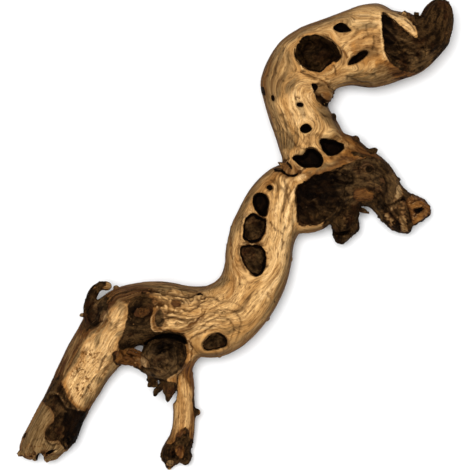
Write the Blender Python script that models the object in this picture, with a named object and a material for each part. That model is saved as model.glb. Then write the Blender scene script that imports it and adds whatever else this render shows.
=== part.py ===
"""A mopani root, about half a metre from the foot of its long leg to the tip of its claw.

It lies on its side on worn flats, and each piece between two main forks is its own closed solid.
A limb is lofted through upright ribs: a rib gives the two edges of the limb as seen from above,
the height of its middle and its half thickness. Lengths in the tables are millimetres.
"""

import math
from collections import namedtuple

import bmesh
import bpy
from mathutils import Matrix, Vector

MM = 0.001
PIECE_GAP = 0.3          # clear space between two touching pieces
RING_STEP = 9.0          # longest step between two rings of a loft
STEM_SIDES = 20
BRANCH_SIDES = 16
TWIG_SIDES = 10
KNURL = 0.035            # how far the bark's slow waves swell a ring, as a share of its radius
DOME_STEPS = 2           # rings that round off a free end
DOME_REACH = 0.35        # length of a rounded end, as a share of its last rib's half width

Rib = namedtuple("Rib", "left_x left_y right_x right_y middle half")
Hollow = namedtuple("Hollow", "x y z long wide deep turn")
Finish = namedtuple("Finish", "red green blue roughness")

# The stem runs from the foot of the long leg, over the elbow, along the trunk and up to the claw.
LONG_LEG_RIBS = [
    Rib(-172.5, -176.0, -139.0, -177.0, 17.0, 15.0),
    Rib(-171.5, -167.0, -127.0, -167.0, 18.5, 19.5),
    Rib(-161.5, -147.0, -120.0, -148.5, 18.5, 20.0),
    Rib(-150.5, -127.0, -111.0, -133.5, 19.5, 19.5),
    Rib(-141.0, -107.0, -100.5, -115.5, 21.5, 19.5),
    Rib(-133.0, -89.5, -90.0, -103.5, 23.5, 20.0),
    Rib(-125.5, -76.0, -83.0, -93.5, 25.5, 21.0),
    Rib(-118.5, -64.0, -78.5, -89.0, 27.0, 22.0),
    Rib(-107.0, -50.5, -75.0, -88.0, 28.5, 23.0),
]
TRUNK_RIBS = [
    Rib(-93.0, -42.0, -72.0, -87.5, 29.5, 23.5),
    Rib(-75.0, -38.0, -65.0, -87.0, 30.5, 24.0),
    Rib(-55.0, -37.5, -52.0, -89.0, 31.0, 24.0),
    Rib(-35.0, -41.5, -37.0, -93.0, 31.0, 24.5),
    Rib(-21.5, -41.0, -21.0, -97.5, 31.0, 25.0),
    Rib(-13.0, -37.0, -5.0, -95.0, 30.0, 25.5),
    Rib(-8.0, -30.0, 11.0, -85.5, 29.5, 25.0),
    Rib(-6.5, -21.5, 24.0, -71.5, 29.0, 24.5),
    Rib(-6.5, -12.0, 35.0, -55.0, 28.5, 24.5),
    Rib(-5.5, -2.5, 43.0, -35.0, 28.0, 24.5),
    Rib(-3.0, 7.0, 46.5, -17.0, 27.5, 24.5),
    Rib(2.0, 17.5, 48.0, -6.0, 27.0, 24.0),
    Rib(9.5, 32.0, 52.0, 3.0, 27.0, 23.0),
    Rib(19.0, 44.0, 55.0, 17.5, 27.5, 21.5),
    Rib(29.5, 53.0, 60.0, 31.0, 28.5, 20.0),
    Rib(40.0, 57.5, 68.0, 43.0, 29.5, 19.5),
]
UPPER_LIMB_RIBS = [
    Rib(37.5, 65.5, 77.0, 53.5, 30.0, 21.0),
    Rib(34.5, 76.0, 83.0, 65.5, 30.0, 23.0),
    Rib(30.5, 87.0, 87.0, 82.5, 29.5, 24.0),
    Rib(27.0, 98.5, 78.5, 96.0, 28.5, 24.5),
    Rib(24.0, 109.5, 74.0, 104.0, 27.0, 25.0),
    Rib(21.5, 120.0, 72.0, 109.5, 26.0, 25.5),
    Rib(23.5, 130.5, 75.0, 115.0, 25.0, 26.0),
    Rib(29.0, 142.5, 81.0, 116.5, 25.0, 26.5),
    Rib(38.5, 155.0, 85.0, 118.5, 26.0, 27.0),
    Rib(53.0, 165.0, 89.5, 119.0, 27.5, 28.0),
    Rib(69.0, 171.0, 96.0, 120.0, 29.5, 28.5),
    Rib(86.5, 178.0, 102.5, 119.0, 31.0, 29.0),
    Rib(102.5, 184.0, 112.0, 118.5, 32.0, 29.5),
    Rib(117.0, 184.5, 123.0, 120.0, 32.5, 29.0),
    Rib(127.0, 178.5, 134.5, 124.5, 33.0, 26.5),
    Rib(137.0, 177.5, 144.5, 127.5, 33.0, 24.0),
    Rib(143.5, 176.0, 154.0, 133.0, 33.0, 21.0),
    Rib(148.0, 172.0, 163.0, 142.5, 33.5, 18.5),
    Rib(149.5, 176.0, 170.5, 151.0, 35.0, 16.0),
    Rib(151.5, 180.0, 174.0, 162.5, 37.0, 13.5),
    Rib(155.5, 184.5, 175.0, 173.5, 39.0, 10.5),
    Rib(161.0, 187.5, 172.0, 183.5, 40.5, 6.5),
]

# The branches start inside what carries them, and are cut back to its surface.
SIDE_LIMB_RIBS = [
    Rib(54.5, 68.0, 35.0, 21.5, 29.0, 12.0),
    Rib(82.0, 79.5, 49.5, 3.0, 28.5, 19.0),
    Rib(95.5, 79.5, 68.0, 4.0, 28.0, 22.0),
    Rib(105.0, 71.5, 78.0, 11.5, 27.0, 21.5),
    Rib(114.5, 65.0, 90.5, 22.5, 25.5, 20.0),
    Rib(124.5, 57.0, 101.0, 24.5, 23.5, 18.5),
    Rib(131.0, 47.0, 109.5, 23.0, 21.5, 17.0),
    Rib(135.0, 39.0, 117.0, 15.0, 19.5, 16.5),
    Rib(142.5, 33.0, 123.0, 8.0, 17.5, 16.5),
    Rib(150.5, 31.0, 131.0, 2.5, 15.8, 16.5),
    Rib(156.0, 27.0, 139.0, 0.5, 15.0, 16.0),
    Rib(159.0, 20.0, 147.0, 7.5, 14.5, 12.0),
]
SIDE_KNOB_RIBS = [
    Rib(101.0, 36.0, 79.0, 29.5, 25.0, 10.0),
    Rib(101.0, 24.0, 76.0, 18.5, 23.5, 12.5),
    Rib(100.5, 15.0, 78.0, 10.5, 22.0, 12.5),
    Rib(99.5, 7.0, 79.5, 3.0, 20.5, 11.5),
    Rib(96.0, -1.0, 81.0, -3.0, 20.0, 10.0),
    Rib(89.5, -5.5, 82.5, -7.0, 20.0, 6.0),
]
FRONT_LEG_RIBS = [
    Rib(-23.0, -76.0, -49.5, -77.5, 28.0, 13.0),
    Rib(-25.0, -92.0, -53.0, -97.0, 26.5, 15.0),
    Rib(-31.0, -101.0, -51.0, -109.0, 25.0, 13.0),
    Rib(-33.5, -107.0, -50.5, -116.0, 23.0, 11.0),
    Rib(-31.8, -116.0, -50.0, -124.0, 20.5, 10.0),
    Rib(-31.3, -128.0, -49.0, -133.0, 18.0, 9.5),
    Rib(-31.2, -141.5, -49.0, -145.0, 15.5, 9.3),
    Rib(-31.3, -154.5, -50.0, -157.0, 13.5, 9.8),
    Rib(-32.3, -165.0, -54.8, -166.5, 11.5, 11.2),
    Rib(-34.0, -173.5, -59.3, -174.5, 10.6, 11.8),
    Rib(-37.0, -179.5, -59.6, -180.5, 10.3, 11.3),
    Rib(-43.5, -184.0, -54.0, -185.0, 10.0, 7.0),
]
CURLED_SPUR_RIBS = [
    Rib(-119.0, -66.5, -109.0, -66.5, 30.0, 5.0),
    Rib(-119.5, -56.0, -111.0, -57.0, 30.0, 4.6),
    Rib(-117.5, -48.0, -110.5, -50.5, 30.5, 4.2),
    Rib(-113.0, -41.0, -107.5, -46.0, 31.0, 4.0),
    Rib(-106.5, -37.0, -105.0, -43.5, 32.0, 3.8),
    Rib(-100.0, -37.5, -100.5, -44.0, 32.5, 3.6),
    Rib(-97.0, -40.0, -99.5, -43.0, 32.5, 2.5),
]
ROOT_STRAND_RIBS = [
    Rib(-101.0, -89.0, -102.5, -105.0, 26.0, 8.0),
    Rib(-91.0, -92.5, -92.0, -104.0, 27.0, 6.5),
    Rib(-81.5, -94.5, -82.5, -103.0, 28.0, 5.8),
    Rib(-73.0, -94.5, -73.5, -109.5, 29.0, 7.0),
    Rib(-63.0, -94.0, -65.0, -113.5, 30.0, 8.0),
]
BARK_PEG_RIBS = [
    Rib(-60.0, -106.0, -68.0, -106.0, 29.0, 4.0),
    Rib(-60.5, -115.0, -68.5, -115.0, 28.0, 4.0),
    Rib(-61.0, -121.0, -69.0, -121.5, 27.0, 3.6),
]
LEFT_FLAKE_RIBS = [
    Rib(-49.5, -111.0, -59.0, -112.0, 33.0, 3.4),
    Rib(-54.0, -121.0, -62.5, -119.0, 32.0, 3.2),
    Rib(-57.5, -126.0, -65.0, -123.5, 31.0, 2.8),
    Rib(-60.5, -129.0, -64.5, -128.0, 30.0, 2.0),
]
RIGHT_FLAKE_RIBS = [
    Rib(-44.0, -113.0, -55.0, -114.0, 37.5, 3.6),
    Rib(-45.0, -123.0, -56.0, -124.5, 36.0, 3.2),
    Rib(-48.0, -129.5, -54.5, -130.5, 34.5, 2.6),
    Rib(-50.5, -134.5, -52.5, -134.5, 33.5, 1.8),
]
LEG_PEG_RIBS = [
    Rib(-40.0, -140.5, -40.0, -145.5, 17.0, 2.6),
    Rib(-33.0, -140.0, -33.0, -145.0, 17.5, 2.4),
    Rib(-28.5, -140.0, -28.5, -145.0, 18.0, 2.2),
]

# A round growth is a ball: middle, then half length along, across and up, and its turn in degrees.
BURL = Hollow(-56.0, -97.5, 36.0, 17.5, 17.0, 16.5, 25.0)
INNER_KNOB = Hollow(72.5, 112.0, 30.0, 8.0, 7.2, 8.0, 40.0)

# The large hollows that open on the upper face, by the piece they are worn into.
HOLLOWS = {
    "upper_limb": [
        Hollow(66.0, 145.5, 58.0, 15.5, 12.5, 20.0, -20.0),
        Hollow(140.0, 150.0, 62.0, 20.0, 15.0, 15.0, 25.0),
        Hollow(79.0, 70.0, 54.0, 8.5, 4.5, 12.0, 0.0),
        Hollow(59.5, 62.0, 55.0, 8.5, 5.5, 13.0, -10.0),
    ],
    "trunk": [
        Hollow(21.5, 27.0, 52.0, 7.0, 5.0, 14.0, -60.0),
        Hollow(16.5, 5.5, 53.0, 8.0, 6.0, 8.0, 70.0),
        Hollow(15.0, -20.0, 54.0, 9.0, 8.0, 7.0, -50.0),
        Hollow(-15.0, -85.0, 50.0, 8.0, 5.5, 10.0, 20.0),
    ],
    "side_limb": [
        Hollow(73.0, 34.0, 62.0, 17.0, 12.0, 22.0, 35.0),
    ],
}

FINISHES = {
    "long_leg": Finish(0.42, 0.27, 0.13, 0.75),
    "trunk": Finish(0.60, 0.38, 0.17, 0.60),
    "upper_limb": Finish(0.62, 0.40, 0.18, 0.60),
    "side_limb": Finish(0.10, 0.06, 0.03, 0.80),
    "side_knob": Finish(0.08, 0.05, 0.03, 0.80),
    "front_leg": Finish(0.45, 0.25, 0.10, 0.65),
    "burl": Finish(0.07, 0.04, 0.025, 0.80),
    "inner_knob": Finish(0.14, 0.09, 0.04, 0.75),
    "root_strand": Finish(0.16, 0.06, 0.03, 0.70),
    "curled_spur": Finish(0.12, 0.08, 0.05, 0.80),
    "bark_peg": Finish(0.10, 0.06, 0.03, 0.85),
    "left_flake": Finish(0.06, 0.04, 0.03, 0.85),
    "right_flake": Finish(0.06, 0.04, 0.03, 0.85),
    "leg_peg": Finish(0.04, 0.03, 0.02, 0.85),
}


def clear_scene():
    """Remove every object that is already there."""
    for obj in list(bpy.data.objects):
        bpy.data.objects.remove(obj, do_unlink=True)


def rib_between(ribs, index, share):
    """Return the rib at a share of the way from one rib to the next, on a smooth curve."""
    last = len(ribs) - 1
    before, start = ribs[max(index - 1, 0)], ribs[index]
    stop, after = ribs[min(index + 1, last)], ribs[min(index + 2, last)]
    values = []
    for a, b, c, d in zip(before, start, stop, after):
        slope_b, slope_c = (c - a) / 2, (d - b) / 2
        cubic = 2 * b - 2 * c + slope_b + slope_c
        square = 3 * c - 3 * b - 2 * slope_b - slope_c
        values.append(((cubic * share + square) * share + slope_b) * share + b)
    return Rib(*values)


def steps_to_next(ribs, index):
    """Return how many steps a loft takes from one rib to the next."""
    here, there = ribs[index], ribs[index + 1]
    left = math.dist((here.left_x, here.left_y), (there.left_x, there.left_y))
    right = math.dist((here.right_x, here.right_y), (there.right_x, there.right_y))
    return max(1, math.ceil(max(left, right) / RING_STEP))


def fill_ribs(ribs, first, last):
    """Return the ribs from one rib to another with the smooth steps between them."""
    filled = []
    for index in range(first, last):
        count = steps_to_next(ribs, index)
        filled.extend(rib_between(ribs, index, step / count) for step in range(count))
    filled.append(ribs[last])
    return filled


def rib_heading(rib):
    """Return the level direction in which the limb runs through a rib."""
    across = Vector((rib.right_x - rib.left_x, rib.right_y - rib.left_y, 0.0)).normalized()
    return Vector((-across.y, across.x, 0.0))


def ring_points(rib, sides, scale=1.0, push=0.0):
    """Return the points of one ring, swollen by the slow waves of the bark."""
    middle = Vector(((rib.left_x + rib.right_x) / 2, (rib.left_y + rib.right_y) / 2, rib.middle))
    across = Vector(((rib.right_x - rib.left_x) / 2, (rib.right_y - rib.left_y) / 2, 0.0))
    middle += rib_heading(rib) * push
    drift = (middle.x + middle.y) / 30.0
    points = []
    for side in range(sides):
        angle = 2 * math.pi * side / sides
        wave = math.sin(3 * angle + drift) + 0.6 * math.sin(5 * angle - 1.7 * drift)
        swell = scale * (1 + KNURL * wave * math.sin(angle) ** 2)
        points.append(middle + (across * math.cos(angle) + Vector((0, 0, rib.half)) * math.sin(angle)) * swell)
    return points


def dome_rings(rib, sides, forward):
    """Return the shrinking rings that round off a free end."""
    half_width = math.dist((rib.left_x, rib.left_y), (rib.right_x, rib.right_y)) / 2
    reach = DOME_REACH * min(half_width, rib.half) * forward
    rings = []
    for step in range(1, DOME_STEPS + 1):
        angle = 0.5 * math.pi * step / (DOME_STEPS + 1)
        rings.append(ring_points(rib, sides, math.cos(angle), reach * math.sin(angle)))
    return rings


def skin_rings(rings):
    """Return a closed body through the rings, capped at both ends."""
    shell = bmesh.new()
    loops = [[shell.verts.new(point * MM) for point in ring] for ring in rings]
    for here, there in zip(loops, loops[1:]):
        for side in range(len(here)):
            following = (side + 1) % len(here)
            shell.faces.new((here[side], here[following], there[following], there[side]))
    shell.faces.new(reversed(loops[0]))
    shell.faces.new(loops[-1])
    bmesh.ops.recalc_face_normals(shell, faces=shell.faces)
    return shell


def loft(ribs, sides, first=0, last=None, open_start=False, open_stop=False):
    """Return a limb's body; an open end is sawn flat with half the gap, a free end is rounded."""
    last = len(ribs) - 1 if last is None else last
    filled = fill_ribs(ribs, first, last)
    rings = [ring_points(rib, sides) for rib in filled]
    if open_start:
        rings[0] = ring_points(filled[0], sides, push=PIECE_GAP / 2)
    else:
        rings = dome_rings(filled[0], sides, -1)[::-1] + rings
    if open_stop:
        rings[-1] = ring_points(filled[-1], sides, push=-PIECE_GAP / 2)
    else:
        rings = rings + dome_rings(filled[-1], sides, 1)
    return skin_rings(rings)


def ball(growth, columns=16, rows=9):
    """Return a round growth as an uneven ball."""
    shell = bmesh.new()
    bmesh.ops.create_uvsphere(shell, u_segments=columns, v_segments=rows, radius=1.0)
    size = Matrix.Diagonal((growth.long, growth.wide, growth.deep, 1.0))
    turn = Matrix.Rotation(math.radians(growth.turn), 4, "Z")
    place = Matrix.Translation((growth.x, growth.y, growth.z))
    for vert in shell.verts:
        swell = 1 + KNURL * math.sin(4 * vert.co.x + 1.0) * math.cos(5 * vert.co.y)
        vert.co *= swell
    bmesh.ops.transform(shell, matrix=Matrix.Scale(MM, 4) @ place @ turn @ size, verts=shell.verts)
    return shell


def wear_flat(shell):
    """Plane off whatever reaches below the floor, which leaves the flats that the root lies on."""
    everything = shell.verts[:] + shell.edges[:] + shell.faces[:]
    cut = bmesh.ops.bisect_plane(
        shell, geom=everything, plane_co=(0, 0, 0), plane_no=(0, 0, 1), clear_inner=True, dist=0.00001)
    rim = [item for item in cut["geom_cut"] if isinstance(item, bmesh.types.BMEdge)]
    if rim:
        bmesh.ops.edgeloop_fill(shell, edges=rim)
        bmesh.ops.recalc_face_normals(shell, faces=shell.faces)


def swell_shell(shell, gap):
    """Push a body's surface out by the gap between pieces."""
    shell.normal_update()
    moves = [(vert, vert.normal * gap * MM) for vert in shell.verts]
    for vert, move in moves:
        vert.co += move


def add_object(name, shell):
    """Put a body into the scene under a name."""
    mesh = bpy.data.meshes.new(name)
    shell.to_mesh(mesh)
    shell.free()
    mesh.shade_smooth()
    mesh.set_sharp_from_angle(angle=math.radians(40))
    obj = bpy.data.objects.new(name, mesh)
    bpy.context.scene.collection.objects.link(obj)
    return obj


def add_cutter(name, shell):
    """Put a body that only cuts others into the scene."""
    obj = add_object(name, shell)
    obj.display_type = "WIRE"
    obj.hide_render = True
    return obj


def cut_with(obj, cutter):
    """Take a cutter's body away from an object."""
    difference = obj.modifiers.new("cut_" + cutter.name, "BOOLEAN")
    difference.operation = "DIFFERENCE"
    difference.solver = "EXACT"
    difference.object = cutter


def finish_object(obj):
    """Give a piece its own material."""
    finish = FINISHES[obj.name]
    material = bpy.data.materials.new(obj.name)
    material.use_nodes = True
    shader = material.node_tree.nodes["Principled BSDF"]
    shader.inputs["Base Color"].default_value = (finish.red, finish.green, finish.blue, 1.0)
    shader.inputs["Roughness"].default_value = finish.roughness
    shader.inputs["Metallic"].default_value = 0.0
    obj.data.materials.append(material)


def make_stem():
    """Build the three pieces of the stem, sawn apart at the two main forks."""
    ribs = LONG_LEG_RIBS + TRUNK_RIBS + UPPER_LIMB_RIBS
    lower_fork = len(LONG_LEG_RIBS)
    upper_fork = lower_fork + len(TRUNK_RIBS)
    bodies = {
        "long_leg": loft(ribs, STEM_SIDES, 0, lower_fork, open_stop=True),
        "trunk": loft(ribs, STEM_SIDES, lower_fork, upper_fork, open_start=True, open_stop=True),
        "upper_limb": loft(ribs, STEM_SIDES, upper_fork, len(ribs) - 1, open_start=True),
    }
    pieces = {}
    for name, shell in bodies.items():
        wear_flat(shell)
        pieces[name] = add_object(name, shell)
    room = loft(ribs, STEM_SIDES)
    swell_shell(room, PIECE_GAP)
    return pieces, add_cutter("stem_room", room)


def branch_body(shape, sides):
    """Return a branch's whole body, a ball where it has no sides and a loft where it has."""
    return ball(shape) if sides is None else loft(shape, sides)


def make_branch(name, shape, sides, carriers):
    """Build a branch cut back to its carriers, and the room that it takes from later branches."""
    shell = branch_body(shape, sides)
    wear_flat(shell)
    piece = add_object(name, shell)
    for carrier in carriers:
        cut_with(piece, carrier)
    room = branch_body(shape, sides)
    swell_shell(room, PIECE_GAP)
    return piece, add_cutter(name + "_room", room)


def hollow_out(piece):
    """Cut a piece's large hollows."""
    for number, hollow in enumerate(HOLLOWS.get(piece.name, [])):
        cut_with(piece, add_cutter(f"{piece.name}_hollow_{number}", ball(hollow, 14, 10)))


def centre_over_origin(pieces):
    """Move everything level, so that the middle of the root's box is above the origin."""
    corners = [vert.co for piece in pieces for vert in piece.data.vertices]
    middle_x = (min(corner.x for corner in corners) + max(corner.x for corner in corners)) / 2
    middle_y = (min(corner.y for corner in corners) + max(corner.y for corner in corners)) / 2
    for obj in bpy.data.objects:
        obj.data.transform(Matrix.Translation((-middle_x, -middle_y, 0.0)))


def build():
    """Build every piece of the root; a branch comes after what carries it."""
    clear_scene()
    pieces, stem_room = make_stem()
    rooms = {"stem": stem_room}
    branches = [
        ("side_limb", SIDE_LIMB_RIBS, BRANCH_SIDES, ["stem"]),
        ("side_knob", SIDE_KNOB_RIBS, BRANCH_SIDES, ["stem", "side_limb"]),
        ("front_leg", FRONT_LEG_RIBS, BRANCH_SIDES, ["stem"]),
        ("burl", BURL, None, ["stem", "front_leg"]),
        ("inner_knob", INNER_KNOB, None, ["stem"]),
        ("curled_spur", CURLED_SPUR_RIBS, TWIG_SIDES, ["stem"]),
        ("root_strand", ROOT_STRAND_RIBS, TWIG_SIDES, ["stem", "burl"]),
        ("bark_peg", BARK_PEG_RIBS, TWIG_SIDES, ["stem", "burl", "root_strand"]),
        ("left_flake", LEFT_FLAKE_RIBS, TWIG_SIDES, ["stem", "burl", "front_leg", "bark_peg"]),
        ("right_flake", RIGHT_FLAKE_RIBS, TWIG_SIDES, ["stem", "burl", "front_leg", "left_flake"]),
        ("leg_peg", LEG_PEG_RIBS, TWIG_SIDES, ["front_leg"]),
    ]
    for name, shape, sides, carriers in branches:
        pieces[name], rooms[name] = make_branch(name, shape, sides, [rooms[carrier] for carrier in carriers])
    for piece in pieces.values():
        hollow_out(piece)
        finish_object(piece)
    centre_over_origin(pieces.values())


build()
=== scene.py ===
"""A mopani root laid flat: one forked growth of sandblasted sapwood and dark, folded heartwood.

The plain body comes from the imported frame. It is turned into a block of depths, the knot holes, slots and
recesses are worn out of it, and a fine skin is drawn over what is left. Grain, cracks and worm galleries
are then raised on that skin, and masks are laid over it for the finishes.
"""

import logging
import math
from dataclasses import dataclass, field
from enum import Enum
from functools import partialmethod
from itertools import groupby
from typing import TypeVar

import bmesh
import bpy
import numpy as np
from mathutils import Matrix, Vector
from mathutils.bvhtree import BVHTree


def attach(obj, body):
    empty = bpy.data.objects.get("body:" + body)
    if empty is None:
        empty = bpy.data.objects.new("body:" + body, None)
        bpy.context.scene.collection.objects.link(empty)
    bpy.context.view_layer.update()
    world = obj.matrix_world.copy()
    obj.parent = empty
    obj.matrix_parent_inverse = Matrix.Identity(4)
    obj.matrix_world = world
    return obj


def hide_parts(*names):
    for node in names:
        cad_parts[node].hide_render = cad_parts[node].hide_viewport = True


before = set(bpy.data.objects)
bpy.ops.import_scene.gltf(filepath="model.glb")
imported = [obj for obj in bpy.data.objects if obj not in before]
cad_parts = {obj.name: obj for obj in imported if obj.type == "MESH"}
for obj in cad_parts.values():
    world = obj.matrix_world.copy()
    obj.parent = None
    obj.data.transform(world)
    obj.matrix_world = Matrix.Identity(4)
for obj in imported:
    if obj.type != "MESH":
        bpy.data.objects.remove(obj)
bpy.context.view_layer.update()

LOG = logging.getLogger("mopani_root")

MM = 0.001                 # metres in a millimetre, the unit of everything below
PIXEL_MM = 0.8             # millimetres that one step of the marking grid covers at the height of its plane
GRID_MIDDLE = (235.0, 234.0)
GRID_PLANE = 28.0          # height of the grid's plane, the widest part of most limbs
GRID_EYE = 2028.0          # height that the grid is seen from
TOP = 46.0                 # usual height of the upper face, which most marks lie on
BODY = "root"

Array = np.ndarray
Spot = tuple[float, float]                  # column and row on the marking grid
Place = tuple[float, float, float]          # a place or a size: on the marking grid, a spot and its height
Outline = tuple[Spot, ...]
Mark = TypeVar("Mark")


class Mask(Enum):
    """What is laid over the bare sapwood, each a number from 0 to 1 at every point of the skin: stains, bark and
    hollows, and painted shade and painted highlight.
    """

    BARK = "bark"
    HOLLOW = "hollow"
    AMBER = "amber"
    RUST = "rust"
    BLEACH = "bleach"
    GREY = "grey"
    # painted shade, darkening the creases, cracks, checks and grooves where shade falls
    CREASE = "crease"
    # dust that pales the bark, and painted highlight on ridges and on the tops of folds
    DUST = "dust"


BARK, HOLLOW, AMBER, RUST, BLEACH, GREY, CREASE, DUST = Mask


def read(word: str) -> Mask | float | tuple[float, ...]:
    """Read the name of a mask, a number, or numbers joined by commas."""
    if word.isupper():
        return Mask[word]
    numbers = tuple(map(float, word.split(",")))
    return numbers if len(numbers) > 1 else numbers[0]


def path(text: str) -> tuple[tuple[float, ...], ...]:
    """Read the spots or places of a line, or the spots of an outline."""
    return tuple(map(read, text.split()))


def marks(kind: type[Mark], table: str) -> tuple[Mark, ...]:
    """Read marks of one kind.

    Args:
        kind: What each row becomes.
        table: Rows with a semicolon between them. The words of a row fill the mark's fields in order. Spots that follow
            one another are one outline or line, and name=value fills the field of that name.

    Returns:
        One mark to a row.
    """
    found = []
    for row in table.split(";"):
        words = row.split()
        named = dict(word.split("=") for word in words if "=" in word)
        values = []
        for are_spots, run in groupby((word for word in words if "=" not in word), lambda word: word.count(",") == 1):
            fields = tuple(map(read, run))
            values += [fields] if are_spots else fields
        found.append(kind(*values, **{name: read(word) for name, word in named.items()}))
    return tuple(found)


def to_mm(spots: Outline, high: float = TOP) -> Array:
    """Turn marking-grid spots into level places in millimetres.

    Args:
        spots: Column and row of each spot on the marking grid, rows counted downwards.
        high: Height of the spots in millimetres: the grid shrinks towards the eye that it is seen from.

    Returns:
        An array of x and y in millimetres.
    """
    grid = np.asarray(spots, float).reshape(-1, 2)
    size = PIXEL_MM * (GRID_EYE - high) / (GRID_EYE - GRID_PLANE)
    return np.stack((grid[:, 0] - GRID_MIDDLE[0], GRID_MIDDLE[1] - grid[:, 1]), axis=1) * size


def place_of(spot: Place) -> Array:
    """Turn a spot with a height into a place in millimetres."""
    return np.append(to_mm(spot[:2], spot[2])[0], spot[2])


def smooth(value: Array, low: float, high: float) -> Array:
    """Rise smoothly from 0 at low to 1 at high."""
    share = np.clip((value - low) / (high - low), 0.0, 1.0)
    return share * share * (3.0 - 2.0 * share)


def rounded(outline: Array, closed: bool = True) -> Array:
    """Cut the corners of a line once, so that a drawn outline runs smoothly."""
    after = np.roll(outline, -1, axis=0)
    cut = np.stack((outline * 0.75 + after * 0.25, outline * 0.25 + after * 0.75), axis=1).reshape(-1, 2)
    return cut if closed else np.concatenate((outline[:1], cut[:-2], outline[-1:]))


def leg_distance(start: Array, end: Array, x: Array, y: Array) -> tuple[Array, Array]:
    """Measure how far places lie from a straight leg.

    Args:
        start: One end of the leg in millimetres.
        end: Its other end.
        x: Places along x, in any shape that fits y.
        y: Places along y.

    Returns:
        Squared distances, and the share of the leg passed at the nearest place.
    """
    (ax, ay), (ex, ey) = start, end - start
    along = np.clip(((x - ax) * ex + (y - ay) * ey) / (ex * ex + ey * ey + 1e-9), 0.0, 1.0)
    return (x - ax - along * ex) ** 2 + (y - ay - along * ey) ** 2, along


def outline_distance(outline: Array, x: Array, y: Array) -> Array:
    """Measure how far places lie from a closed outline.

    Args:
        outline: Corners of the outline in millimetres.
        x: Places along x, in any shape that fits y.
        y: Places along y.

    Returns:
        Distances in millimetres, negative inside the outline.
    """
    nearest = np.full(np.broadcast_shapes(x.shape, y.shape), 1e9, np.float32)
    inside = np.zeros(nearest.shape, bool)
    for start, end in zip(outline, np.roll(outline, -1, axis=0)):
        nearest = np.minimum(nearest, leg_distance(start, end, x, y)[0])
        (ax, ay), (bx, by) = start, end
        inside ^= ((ay > y) != (by > y)) & (x < (bx - ax) * (y - ay) / (by - ay + 1e-12) + ax)
    return np.where(inside, -1.0, 1.0) * np.sqrt(nearest)


def line_distance(line: Array, x: Array, y: Array) -> tuple[Array, Array]:
    """Measure how far places lie from an open line.

    Args:
        line: Points of the line in millimetres.
        x: Places along x.
        y: Places along y.

    Returns:
        Distances in millimetres, and the share of the line's points passed at the nearest place.
    """
    nearest = np.full(x.shape, 1e9)
    passed = np.zeros(x.shape)
    for index, (start, end) in enumerate(zip(line, line[1:])):
        far, along = leg_distance(start, end, x, y)
        closer = far < nearest
        nearest = np.where(closer, far, nearest)
        passed = np.where(closer, (index + along) / (len(line) - 1), passed)
    return np.sqrt(nearest), passed


class Grit:
    """Smooth random heights in space, the same in each run."""

    SIDE = 64

    def __init__(self, seed: int) -> None:
        """Fill the table of random heights."""
        self.table = np.random.default_rng(seed).uniform(-1, 1, self.SIDE ** 3).astype(np.float32)

    def at(self, points: Array, size: float) -> Array:
        """Give the height at each point.

        Args:
            points: Places in millimetres, with x, y and z last.
            size: Width of one bump in millimetres.

        Returns:
            Heights between -1 and 1.
        """
        scaled = (points / size).astype(np.float32)
        floor = np.floor(scaled)
        part = scaled - floor
        part = part * part * (3 - 2 * part)
        low = floor.astype(np.int32) & (self.SIDE - 1)
        high = (low + 1) & (self.SIDE - 1)
        total = np.zeros(scaled.shape[:-1], np.float32)
        for corner in range(8):
            picks = [(high if corner >> axis & 1 else low)[..., axis] for axis in range(3)]
            shares = [part[..., axis] if corner >> axis & 1 else 1 - part[..., axis] for axis in range(3)]
            index = (picks[0] * self.SIDE + picks[1]) * self.SIDE + picks[2]
            total += self.table[index] * (shares[0] * shares[1] * shares[2])
        return total

    def layered(self, points: Array, size: float, layers: int = 3) -> Array:
        """Add finer and fainter bumps to the first ones."""
        total = self.at(points, size)
        for layer in range(1, layers):
            total = total + self.at(points + 17.3 * layer, size / 2 ** layer) / 2 ** layer
        return total / 1.5


COARSE = Grit(11)
FINE = Grit(23)
WARP = Grit(37)


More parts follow.
